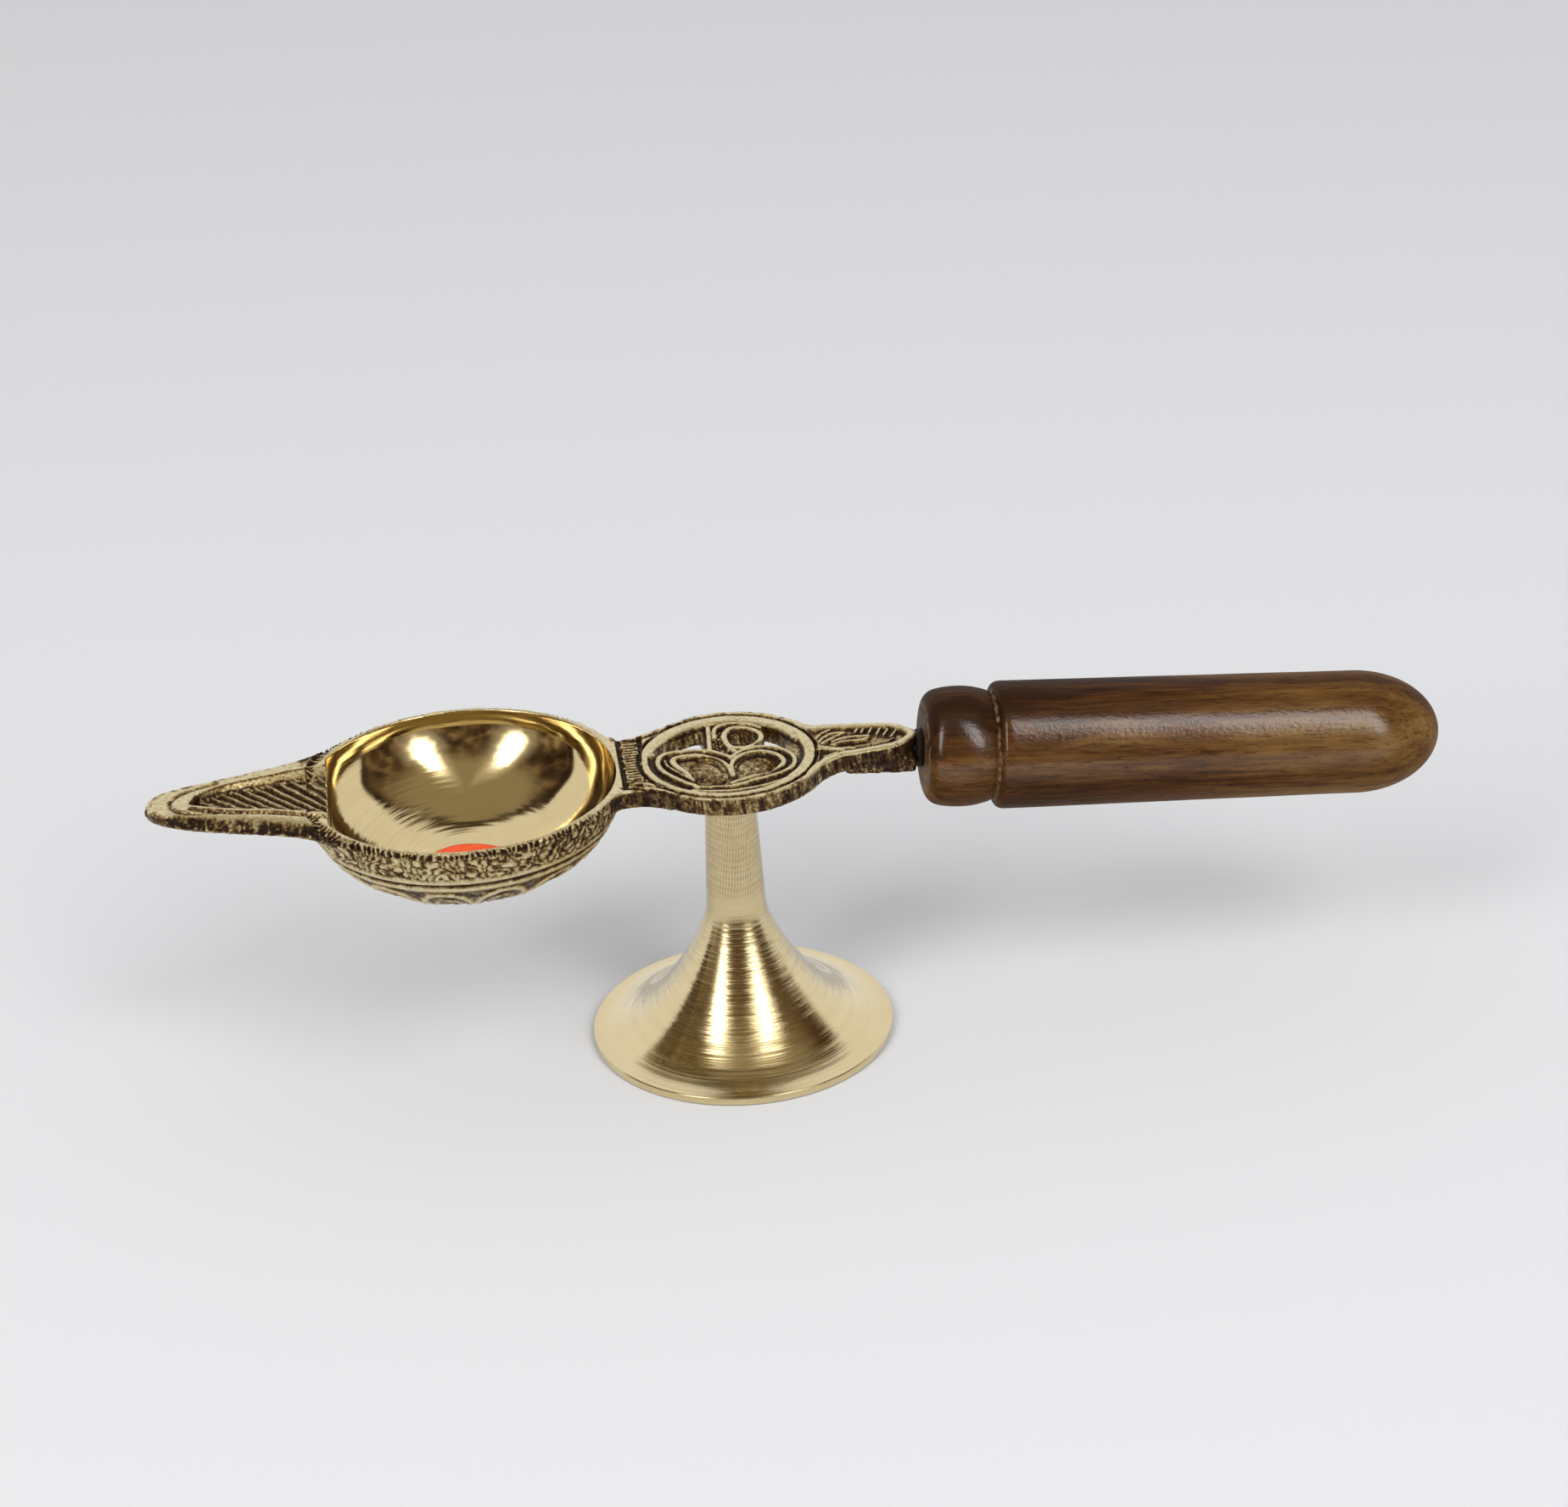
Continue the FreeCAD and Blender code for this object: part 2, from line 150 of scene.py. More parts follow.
def path_distance(x, y, path):
    """Distance from each point to the path."""
    best = np.full(x.shape, 1e9)
    for (ax, ay), (bx, by) in zip(path, path[1:]):
        ex, ey = bx - ax, by - ay
        size = max(ex * ex + ey * ey, 1e-12)
        t = np.clip(((x - ax) * ex + (y - ay) * ey) / size, 0, 1)
        best = np.minimum(best, (x - ax - t * ex) ** 2 + (y - ay - t * ey) ** 2)
    return np.sqrt(best)


def shape_distance(x, y, path):
    """Signed distance to a closed path, negative inside."""
    inside = np.zeros(x.shape, bool)
    for (ax, ay), (bx, by) in zip(path, path[1:]):
        if ay != by:
            inside ^= ((ay > y) != (by > y)) & (x < (bx - ax) * (y - ay) / (by - ay) + ax)
    return np.where(inside, -1.0, 1.0) * path_distance(x, y, path)


# ---------------------------------------------------------------- plan of the cast head

MAP_STEP = 0.12
MAP_X = np.arange(CAST_LOW[0] - 3, CAST_HIGH[0] + 3, MAP_STEP)
MAP_Y = np.arange(CAST_LOW[1] - 3, CAST_HIGH[1] + 3, MAP_STEP)
PLAN_X, PLAN_Y = np.meshgrid(MAP_X, MAP_Y, indexing="ij")

# Half outlines as (x, half width). The spout narrows to a blunt tip, and the leaf to a point.
SPOUT_HALF = ((-112.0, 0.0), (-111.4, 2.5), (-109.6, 4.7), (-106.5, 6.3), (-101.5, 7.8), (-95.5, 9.4),
              (-90.0, 11.0), (-85.0, 12.6), (-80.5, 15.0), (-76.0, 19.0), (-70.0, 24.5))
LEAF_HALF = ((13.0, 12.6), (15.5, 10.6), (18.0, 8.5), (20.7, 7.3), (23.4, 6.8), (26.1, 6.4), (28.8, 6.0),
             (31.5, 5.5), (34.2, 4.2), (36.2, 2.1), (37.3, 0.0))
# How much wider the spout is on its near side, as (x, extra width)
NEAR_FLARE = ((-112.0, 0.0), (-106.5, 0.1), (-101.5, 0.7), (-95.5, 1.1), (-85.0, 1.3), (-78.0, 1.3),
              (-70.0, 0.0))
MEDALLION = (0.3, 0.0, 18.7)             # centre and radius
RING = (0.0, -0.2, 15.8)                 # centre and radius of the ring round the openings
NECK_X = -20.0
NECK_HALF_LENGTH = 8.0
NECK_HALF_WIDTH = 11.6
OPENINGS = (
    oval(-4.3, -5.6, 3.6, 6.3, 6),
    oval(5.0, -4.9, 4.3, 4.3, 0),
    oval(3.9, 6.9, 2.8, 3.5, 0),
    curve([(-14.2, 4.2), (-12.0, 7.6), (-8.6, 10.5), (-4.7, 12.3), (-4.2, 9.0), (-4.4, 4.2), (-8.4, 4.3),
           (-12.6, 3.5)], closed=True),
    curve([(7.9, 11.2), (9.9, 9.9), (11.6, 7.2), (12.9, 3.0), (12.6, 1.3), (10.6, 2.0), (8.0, 2.9),
           (5.6, 3.3), (7.6, 5.2), (7.9, 8.4)], closed=True),
)


def mirrored(half):
    """Closed path from a half outline and its mirror image about the X axis."""
    side = curve(half)
    return np.vstack([side, side[::-1] * (1, -1), side[:1]])


def plan_edge():
    """Signed distance to the plate's outline, seen from above."""
    x, y = PLAN_X, PLAN_Y
    width = line_at(x, curve(SPOUT_HALF))
    drawn_in = y * width / np.maximum(width + line_at(x, NEAR_FLARE), 0.1)
    spout = shape_distance(x, np.where(y < 0, drawn_in, y), mirrored(SPOUT_HALF))
    leaf = shape_distance(x, y, mirrored(LEAF_HALF))
    disc = np.hypot(x - MEDALLION[0], y - MEDALLION[1]) - MEDALLION[2]
    waist = NECK_HALF_WIDTH + 0.06 * (x + 19.0) ** 2
    neck = np.maximum(np.abs(x - NECK_X) - NECK_HALF_LENGTH, np.abs(y) - waist)
    return np.minimum(np.minimum(spout, soft_min(disc, leaf, 1.2)), neck)


def plan_holes():
    """Signed distance to the openings of the medallion, negative inside them."""
    near = (np.abs(PLAN_X) < 20) & (np.abs(PLAN_Y) < 20)
    holes = np.full(PLAN_X.shape, 20.0)
    holes[near] = np.min([shape_distance(PLAN_X[near], PLAN_Y[near], path) for path in OPENINGS], axis=0)
    return holes


# ---------------------------------------------------------------- cast decoration, carved in the plan

class Relief:
    """Height of the cast decoration above the nominal top plane, carved stroke by stroke."""

    def __init__(self):
        self.height = np.zeros(PLAN_X.shape)

    def window(self, path, reach):
        """The part of the map within reach of a path."""
        i = np.searchsorted(MAP_X, (np.min(path, axis=0)[0] - reach, np.max(path, axis=0)[0] + reach))
        j = np.searchsorted(MAP_Y, (np.min(path, axis=0)[1] - reach, np.max(path, axis=0)[1] + reach))
        return slice(*i), slice(*j)

    def region(self, path, level, wall=0.25):
        """Sets everything inside a closed path to one level, with a sloped wall round it."""
        where = self.window(path, 1.0)
        inside = blend(wall, -wall, shape_distance(PLAN_X[where], PLAN_Y[where], path))
        self.height[where] += (level - self.height[where]) * inside

    def stroke(self, path, half_width, section, choose):
        """Lays a stroke along a path. section gives its height across, 0 in the middle and 1 at the edge."""
        where = self.window(path, half_width + 0.3)
        across = path_distance(PLAN_X[where], PLAN_Y[where], path) / half_width
        old = self.height[where]
        self.height[where] = np.where(across < 1.25, choose(old, section(across)), old)

    def ridge(self, path, half_width, level, drop=0.6):
        """Raises a rounded ridge along a path."""
        self.stroke(path, half_width, lambda across: level - drop * across ** 4, np.maximum)

    def groove(self, path, half_width, level, drop=0.9):
        """Cuts a rounded groove along a path."""
        self.stroke(path, half_width, lambda across: level + drop * across ** 2, np.minimum)

    def ridges(self, table):
        """Raises smooth ridges from rows of (half width, level, points)."""
        for half_width, level, points in table:
            self.ridge(curve(points), half_width, level)

    def beads(self, points, radius, level):
        """Raises a row of round beads."""
        for x, y in points:
            self.ridge(np.array([(x, y), (x + 0.01, y)]), radius, level, 0.7)


def run_length(path):
    """Distance along a path at each of its points."""
    return np.r_[0, np.cumsum(np.hypot(*np.diff(path, axis=0).T))]


def along(path, spacing):
    """Points at an even spacing along a path."""
    travel = run_length(path)
    at = np.arange(spacing / 2, travel[-1], spacing)
    return np.c_[np.interp(at, travel, path[:, 0]), np.interp(at, travel, path[:, 1])]


def near_shoulder(x, y, edge):
    """1 at the near edge of the spout, which is rounded over, and 0 over the rest of the head."""
    return blend(-3.8, 0.2, edge) * (y < 0) * blend(-110, -104, x) * blend(-74, -79, x)


# The wick channel: its outline, the foot of its sloped far bank, and the foot of its near wall
CHANNEL_FAR = ((-103.6, -0.4), (-102.6, 2.4), (-99.6, 4.7), (-96.4, 6.4), (-90.0, 7.9), (-85.0, 9.1),
               (-75.0, 11.4))
CHANNEL_NEAR = ((-75.0, -9.6), (-84.6, -6.7), (-90.0, -5.0), (-96.4, -3.6), (-102.3, -1.7), (-103.6, -0.4))
CHANNEL_FLOOR = -1.75
FAR_FOOT = ((-101.8, 2.0), (-99.6, 3.6), (-96.4, 4.9), (-90.0, 6.0), (-85.0, 6.9), (-76.0, 8.4))
NEAR_FOOT = ((-102.0, -1.4), (-96.4, -3.2), (-90.0, -4.6), (-84.6, -6.3), (-76.0, -9.0))
NEAR_RIDGE = ((-103.2, -1.3), (-96.4, -4.2), (-90.0, -5.6), (-84.6, -7.3), (-76.0, -10.2))
TIP_GROOVE = ((-98.5, 6.9), (-102.5, 5.3), (-106.0, 3.0), (-107.4, 0.0), (-106.0, -3.0), (-102.5, -4.4),
              (-98.5, -5.3))
FIRST_VEIN_X = -101.6
VEIN_LENGTH = 16.0


def carve_spout(relief, edge):
    """Wick channel: veined floor, a ridge and beaded groove on its near side, a groove round its tip."""
    relief.region(np.array(CHANNEL_FAR + CHANNEL_NEAR), CHANNEL_FLOOR, 0.18)
    far_foot, near_foot, near_ridge = (curve(points) for points in (FAR_FOOT, NEAR_FOOT, NEAR_RIDGE))
    where = relief.window(np.array(CHANNEL_FAR), 0)
    x, y = PLAN_X[where], PLAN_Y[where]
    edge_y, foot_y = line_at(x, CHANNEL_FAR), line_at(x, far_foot)
    bank = CHANNEL_FLOOR * np.clip((edge_y - y) / np.maximum(edge_y - foot_y, 0.3), 0, 1)
    on_bank = (y > foot_y) & (y < edge_y) & (x > FAR_FOOT[0][0])
    relief.height[where] = np.where(on_bank, bank, relief.height[where])
    x = FIRST_VEIN_X
    while x < BOWL_CUT_X + 1.5:
        share = (x - FIRST_VEIN_X) / 24.0
        vein = []
        for step in np.linspace(0, 1, 10):
            fall = step * VEIN_LENGTH
            px = x + fall * (0.66 - 0.12 * share + 0.06 * step) + 0.12 * math.sin(fall * 1.3 + x)
            py = line_at(x, far_foot) - fall * (0.70 + 0.22 * share)
            if px < BOWL_CUT_X + 2 and py > line_at(px, near_foot):
                vein.append((px, py))
        if len(vein) > 1:
            relief.ridge(curve(vein), 0.42, -1.05 + 0.1 * math.sin(x * 3.1))
        x += 1.95 + 0.75 * share
    for px, py in along(far_foot, 0.55):
        size = 0.36 + 0.16 * math.sin(px * 9.7)
        relief.beads([(px, py - 0.1 * math.sin(px * 5.3))], size, -1.05 - 0.35 * (math.sin(px * 7.1) > 0.3))
    relief.groove(near_ridge + (0, -1.2), 0.8, -0.75, 0.8)
    for px, py in along(near_ridge + (0.3, -1.3), 1.1):
        relief.beads([(px, py)], 0.42 + 0.22 * math.sin(px * 4.3), -0.12 - 0.3 * (math.sin(px * 2.9) > 0.2))
    relief.ridge(near_ridge, 0.45, 0.04)
    relief.groove(curve(TIP_GROOVE), 0.6, -0.42, 0.45)
    relief.height -= 1.5 * near_shoulder(PLAN_X, PLAN_Y, edge)


def carve_rim(relief):
    """File ticks round the outer half of the bowl's rim, all but the side towards the medallion."""
    out = np.hypot(PLAN_X - BOWL_X, PLAN_Y)
    turn = np.arctan2(PLAN_Y, PLAN_X - BOWL_X)
    arc = turn * BOWL_R
    wander = noise(arc * 0.5, out * 0.6, arc * 0)
    tick = np.clip(np.cos(2 * math.pi * (arc / 1.15 + 0.8 * wander)) * 1.3 + 0.1, 0, 1)
    reach = blend(BOWL_R - 1.1, BOWL_R - 0.2, out + 0.35 * wander) * blend(BOWL_R + 1.0, BOWL_R + 0.6, out)
    away = blend(0.55, 0.9, np.abs(turn)) * (out > BOWL_R - 2) * (PLAN_X > BOWL_CUT_X - 4)
    relief.height -= (0.75 * tick + 0.25) * reach * away


NECK_FIELD = ((-21.0, -10.6), (-17.4, -10.6), (-16.6, -6.8), (-16.9, 0), (-16.2, 7.0), (-15.8, 11.4),
              (-21.0, 11.8), (-21.0, -10.6))
NECK_STROKES = (
    ((-19.2, -6.8), (-16.5, -7.9), (-13.2, -10.1), (-10.4, -12.5)),
    ((-20.2, -8.4), (-17.2, -9.5), (-14.1, -11.0), (-10.8, -13.6)),
    ((-21.4, -9.9), (-18.4, -10.8), (-15.2, -12.2), (-12.0, -14.4)),
    ((-21.6, 10.6), (-18.6, 11.4), (-15.3, 12.7), (-11.0, 15.2)),
    ((-20.8, 9.2), (-17.6, 9.9), (-14.6, 11.0), (-12.6, 12.6)),
    ((-22.6, 12.4), (-19.2, 12.8), (-15.8, 14.0), (-12.6, 15.7)),
)


def carve_neck(relief):
    """Ladder of short bars between the bowl and the medallion, with strokes fanning out beside it."""
    relief.region(np.array(NECK_FIELD), -0.85, 0.3)
    for count in range(19):
        y = -9.4 + 1.12 * count
        shift = 0.25 * math.sin(count * 2.4)
        relief.ridge(np.array([(-19.9 + shift, y), (-17.2 + shift, y + 0.15)]), 0.36, -0.05)
        if count % 3 != 1:
            side = -19.9 if count % 2 else -17.1
            relief.ridge(np.array([(side, y), (side, y + 1.1)]), 0.28, -0.15)
    for stroke in NECK_STROKES:
        relief.groove(curve(stroke), 0.38, -0.55, 0.5)


# Ridges of the medallion as (half width, level, points), in the order that they are laid
LOBE_RIDGES = (
    (0.68, 0.0, ((0.3, -0.6), (-0.9, 0.6), (-2.2, 1.8), (-3.5, 2.7), (-5.6, 3.3), (-8.4, 3.5), (-10.9, 3.3),
                 (-12.6, 2.4), (-13.5, 0.6), (-13.5, -2.2), (-12.5, -4.9), (-10.8, -7.5), (-9.1, -9.7),
                 (-7.6, -11.2), (-7.2, -12.4))),
    (0.36, -0.1, ((-12.2, 0.3), (-11.9, -1.8), (-10.7, -4.1), (-9.1, -6.7), (-7.6, -9.0))),
    (0.8, -0.03, ((0.1, -8.4), (0.0, -6.0), (-0.6, -4.3), (-1.7, -2.0), (-3.5, -0.1), (-5.8, 1.3),
                  (-8.3, 1.4), (-10.1, 0.9), (-10.7, -0.4), (-10.1, -2.6), (-8.7, -5.3), (-7.3, -8.4))),
    (0.62, 0.0, ((0.4, -1.2), (2.2, 0.8), (4.5, 2.2), (7.5, 2.2), (10.4, 0.6), (12.2, -1.9), (12.6, -4.5),
                 (11.9, -6.9), (10.1, -8.8), (7.5, -10.1), (4.3, -11.2), (1.5, -12.3), (-0.8, -13.1))),
    (0.7, 0.0, ((0.3, -5.2), (0.8, -2.8), (2.2, -0.8), (4.3, 0.3), (6.8, 0.3), (9.1, -1.3), (10.3, -3.4),
                (10.3, -5.2), (9.2, -6.9), (6.8, -8.5), (3.7, -9.8), (1.1, -10.9), (-0.3, -11.7))),
    (0.5, -0.02, ((-8.1, -13.3), (-5.7, -14.0), (-3.1, -14.5), (0.4, -14.7), (4.6, -14.1), (8.0, -13.0),
                  (10.9, -11.2), (13.4, -8.6))),
    (0.5, -0.1, ((-7.4, -11.6), (-5.0, -12.3), (-2.6, -12.5), (0.6, -12.9))),
)
STEM_RIDGES = (
    (0.62, 0.05, ((-2.5, 12.6), (-2.8, 8.4), (-3.0, 5.3), (-3.1, 3.2))),
    (0.35, 0.0, ((-3.0, 13.0), (-3.5, 14.6))),
    (0.62, 0.05, ((-1.7, 7.6), (-1.6, 10.1), (-1.0, 12.1), (0.4, 13.1), (2.2, 13.3), (4.3, 12.9), (6.2, 11.9),
                  (7.6, 10.4))),
    (0.7, -0.02, ((0.5, 4.9), (0.9, 3.0), (1.6, 1.4))),
)
EYE_BAND = ((0.2, 8.4), (0.2, 6.8), (0.5, 4.9), (1.2, 3.3), (2.7, 2.6), (4.5, 2.8), (6.3, 4.2), (7.3, 6.2),
            (7.1, 8.4), (5.7, 10.3), (3.9, 11.3), (2.0, 11.4), (0.8, 10.2))


def carve_medallion(relief):
    """Ring, the two lobes with doubled outlines, and the curled stem above them."""
    x, y, radius = RING
    relief.region(circle(x, y, radius - 0.4), -0.85, 0.3)
    relief.groove(circle(x, y, radius + 1.55), 0.42, -0.9)
    relief.ridge(circle(x, y, radius + 0.35, 140, 320), 0.62, 0.05)
    relief.ridge(circle(x, y, radius - 0.1, -45, 25), 1.05, 0.08)
    relief.ridge(circle(x, y, radius - 0.4, 20, 165), 1.4, 0.08)
    relief.ridges(LOBE_RIDGES + STEM_RIDGES)
    relief.ridge(curve(EYE_BAND, closed=True), 0.75, 0.0)
    relief.beads([(-2.1 + 0.5 * (i % 2), 2.6 + 0.75 * i) for i in range(9)], 0.36, -0.25)
    relief.beads([(-0.9 + 0.4 * (i % 2), 4.4 + 0.8 * i) for i in range(8)], 0.36, -0.3)
    relief.beads([(-0.8, 1.9), (0.0, 1.0), (0.4, 2.4), (-1.6, 1.2)], 0.4, -0.25)


BLADES = (
    ((18.1, 1.3), (19.4, 2.6), (21.1, 3.2), (23.2, 3.0)),
    ((18.5, 0.2), (20.8, 1.4), (23.2, 2.9)),
    ((20.6, -0.3), (22.9, 0.7), (25.3, 0.9), (27.7, 0.6)),
    ((20.2, -1.4), (22.4, -0.8), (24.7, -0.8), (27.2, -0.5)),
    ((17.7, -0.6), (19.3, -2.0), (21.5, -3.6), (24.4, -3.9)),
    ((17.5, -1.7), (19.7, -3.1), (22.1, -4.6)),
    ((17.4, -6.9), (18.8, -5.6), (20.6, -5.0)),
    ((17.6, 2.6), (18.9, 4.2), (20.6, 4.8)),
)
LEAF_BARS = (
    ((25.2, 2.5), (25.9, 3.9)), ((26.5, 2.4), (27.2, 3.9)), ((27.9, 1.9), (28.7, 3.7)),
    ((29.3, 0.9), (30.3, 3.3)), ((30.6, 0.3), (31.8, 2.7)), ((31.9, -0.7), (33.3, 1.9)),
    ((30.6, -2.6), (32.3, -1.4)),
)
LEAF_RIM = 1.05                          # how far inside the edge the leaf's raised rim runs


def carve_leaf(relief, edge):
    """Smooth rim round the leaf, long blades near the medallion and bars and beads towards the handle."""
    beyond_ring = np.hypot(PLAN_X - RING[0], PLAN_Y - RING[1]) - RING[2] - 2.1
    leaf = (PLAN_X > 12) & (beyond_ring > -0.4)
    inner = blend(-1.7, -2.1, edge) * blend(-0.1, 0.4, beyond_ring) * leaf
    relief.height += (-0.72 - relief.height) * inner
    rim = np.where(leaf & (PLAN_X > 14), 0.12 - 0.5 * (edge + LEAF_RIM) ** 4, -9.0)
    on_rim = np.abs(edge + LEAF_RIM) < 1.2
    relief.height = np.where(on_rim, np.maximum(relief.height, rim), relief.height)
    for blade in BLADES:
        relief.ridge(curve(blade), 0.52, -0.05)
    for bar in LEAF_BARS:
        relief.ridge(np.array(bar), 0.36, -0.08)
    relief.beads([(25.0, -3.2), (26.1, -3.2), (27.1, -3.1), (28.2, -2.9), (29.3, -2.7)], 0.42, -0.2)


def blurred(grid, reach):
    """Average of a map over a square reaching this far each way."""
    half = int(reach / MAP_STEP)
    size = 2 * half + 1
    for axis in (0, 1):
        pad = [(size, size) if k == axis else (0, 0) for k in (0, 1)]
        total = np.moveaxis(np.cumsum(np.pad(grid, pad, mode="edge"), axis=axis), axis, 0)
        count = grid.shape[axis]
        high, low = size + half, size - half - 1
        grid = np.moveaxis((total[high:high + count] - total[low:low + count]) / size, 0, axis)
    return grid


def plan_shade(height):
    """How dark the decoration is made: patina and painted shade, most in grooves and at the feet of ridges,
    none on the crests.
    """
    steep = np.hypot(*np.gradient(height, MAP_STEP))
    sunk = height - blurred(blurred(height, 0.5), 0.5)
    in_channel = (PLAN_X > -104) & (PLAN_X < -74) & (height < -0.35)
    deep = blend(-0.25, -0.75, height) * np.where(in_channel, 0.25, 0.38)
    hollow = blend(0.0, -0.2, sunk) * 0.72 + deep
    flank = blend(0.5, 1.5, steep) * np.where(in_channel, 0.5, 0.7)
    return np.clip(np.maximum(hollow, flank), 0, 1)


# ---------------------------------------------------------------- solid of the cast head

PLATE = 3.8                              # thickness of the plate under the medallion and the leaf
SPOUT_EDGE = ((-113.0, 1.6), (-103.0, 2.5))    # thickness of the spout at its edges, along X
KEEL = ((-113.0, 2.6), (-107.0, 3.2), (-100.5, 4.0), (-94.0, 4.9), (-88.0, 5.9), (-82.0, 7.0), (-77.0, 8.3),
        (-70.0, 10.2))                   # thickness of the spout in its middle, along X
BOSS_LOW_R = 5.2
BOSS_ROOT_R = 9.4
BOSS_ROOT_Z = TOP - 3.1
BOSS_CROWN_Z = TOP - 1.5
STUD_HOLE_R = 2.5
BAR_MIDDLE, BAR_HALF_LENGTH, BAR_HALF_WIDTH = 29.25, 6.95, 5.2
BAR_START_DEPTH, BAR_END_DEPTH = 5.0, 6.0
HANDLE_DROP = math.radians(3.9)
HANDLE_AT = (38.0, 0.0, TOP - 3.1)
ROD_START = -8.0
ROD_HOLE_START = -8.5
ROD_HOLE_R = 2.06
NET_MARGIN = 1.2                         # room round the CAD box for the sampled field
NEWTON_STEPS = 3
LONGEST_MOVE = 0.16


def top_warp(x):
    """The casting isn't quite level: how far its top face stands off the nominal plane."""
    spout = 0.45 * blend(-70, -85, x)
    medallion = -0.5 * blend(-30, -18, x) * blend(22, 15, x)
    return spout + medallion + 0.45 * blend(15, 22, x)


def plan_under():
    """Height of the plate's underside: a round keel under the spout, flat elsewhere."""
    width = np.maximum(line_at(PLAN_X, curve(SPOUT_HALF)), 2.0)
    keel, edge = line_at(PLAN_X, KEEL), line_at(PLAN_X, SPOUT_EDGE)
    hull = edge + (keel - edge) * np.clip(1 - (PLAN_Y / width) ** 2, 0, 1)
    return TOP + top_warp(PLAN_X) - np.where(PLAN_X < -66, hull, PLATE)


def sample(grids, x, y):
    """Values of the plan maps at any points."""
    u = np.clip((x - MAP_X[0]) / MAP_STEP, 0, len(MAP_X) - 1.001)
    v = np.clip((y - MAP_Y[0]) / MAP_STEP, 0, len(MAP_Y) - 1.001)
    i, j = u.astype(np.int64), v.astype(np.int64)
    u, v = u - i, v - j
    out = []
    for grid in grids:
        low = grid[i, j] * (1 - v) + grid[i, j + 1] * v
        high = grid[i + 1, j] * (1 - v) + grid[i + 1, j + 1] * v
        out.append(low * (1 - u) + high * u)
    return out


def ellipsoid_gap(x, y, z, radius, depth):
    """Near distance to a flattened ellipsoid under the bowl's rim, straight-sided above it."""
    drop = np.minimum(z - TOP, 0)
    across = (x - BOWL_X) ** 2 + y ** 2
    k0 = np.sqrt(across / radius ** 2 + drop ** 2 / depth ** 2)
    k1 = np.sqrt(across / radius ** 4 + drop ** 2 / depth ** 4) + 1e-9
    return k0 * (k0 - 1) / k1


def side_streaks(x, y, z):
    """File marks down the cast edges, leaning along the spout."""
    lean = np.where(x < -70, 0.55, 0.12) * z
    coarse = noise((x + lean) * 1.5, y * 1.5, z * 0.3)
    return 0.55 * coarse + 0.45 * noise((x + lean) * 2.6, y * 2.6, z * 0.6 + 9)


def hump(value, middle, half_width):
    """A rounded ridge: 1 at the middle, 0 beyond the half width."""
    return np.clip(1 - ((value - middle) / half_width) ** 2, 0, 1)


OVALS = 14                               # ovals round the bowl
OVAL_ROW_R = 27.5
OVAL_DEPTH, OVAL_HALF_WIDTH, OVAL_HALF_HEIGHT = 15.6, 5.4, 4.7
BLOCK_BAND = 6.3                         # how far down the rows of blocks reach
BLOCK_ROW = 1.45


def bowl_decoration(x, y, z):
    """Cast decoration outside the bowl: rows of rough blocks, two fine ridges and a row of ovals."""
    t = TOP - z
    arc = np.arctan2(y, x - BOWL_X) * OVAL_ROW_R
    pebbles = 0.6 * noise(arc * 1.5, t * 1.4, t * 0 + 3) + 0.4 * noise(arc * 3.1, t * 2.7, t * 0 + 8)
    wander = noise(arc * 0.45, t * 0.5, t * 0 + 6)
    row = (t - 0.1) / BLOCK_ROW + 0.3 * noise(arc * 0.5, t * 0.3, t * 0 + 12)
    level = np.floor(row)
    phase = arc / np.where(level < 1, 1.0, 1.7) + 0.4 * level + 1.2 * wander
    across = np.cos(2 * math.pi * phase) * 0.9 + 0.35
    down = np.sin(math.pi * (row - level)) * 1.8
    block = blend(-0.3, 0.9, np.minimum(across, down) + 1.1 * pebbles)
    band = blend(BLOCK_BAND + 0.2, BLOCK_BAND - 0.2, t) * (0.34 * block - 0.22)
    lines = 0.16 * hump(t, 6.9, 0.6) + 0.2 * hump(t, 9.0, 0.6) - 0.3 * hump(t, 7.9, 0.5)
    pitch = 2 * math.pi * OVAL_ROW_R / OVALS
    u = arc - np.round(arc / pitch) * pitch
    at = np.sqrt((u / OVAL_HALF_WIDTH) ** 2 + ((t - OVAL_DEPTH) / OVAL_HALF_HEIGHT) ** 2)
    ovals = 0.5 * hump(at * 4.9, 4.9, 0.7) + 0.26 * hump(at * 4.9, 2.45, 0.55)
    return band + lines + blend(9.6, 10.2, t) * (0.2 * pebbles - 0.2 + ovals)


def bar_field(x, y, z):
    """Tapered bar under the leaf, which the handle's rod is screwed into."""
    along_bar = (x - BAR_MIDDLE) / BAR_HALF_LENGTH
    depth = BAR_START_DEPTH + (BAR_END_DEPTH - BAR_START_DEPTH) * (along_bar + 1) / 2
    sides = soft_max(np.abs(y) - BAR_HALF_WIDTH, np.abs(x - BAR_MIDDLE) - BAR_HALF_LENGTH, 0.8)
    return soft_max(sides, np.maximum(TOP - depth - z, z - (TOP - PLATE + 1.0)), 1.2)


def boss_field(x, y, z):
    """Cone under the medallion, with a low crown that shows through the openings."""
    r = np.hypot(x, y)
    cone = r - (BOSS_LOW_R + (BOSS_ROOT_R - BOSS_LOW_R) * (z - BOSS_Z) / (BOSS_ROOT_Z - BOSS_Z))
    crown = z - (BOSS_CROWN_Z - (BOSS_CROWN_Z - BOSS_ROOT_Z) * np.minimum(r / BOSS_ROOT_R, 1.2) ** 4)
    return soft_max(np.maximum(cone, BOSS_Z - z), crown, 0.4)


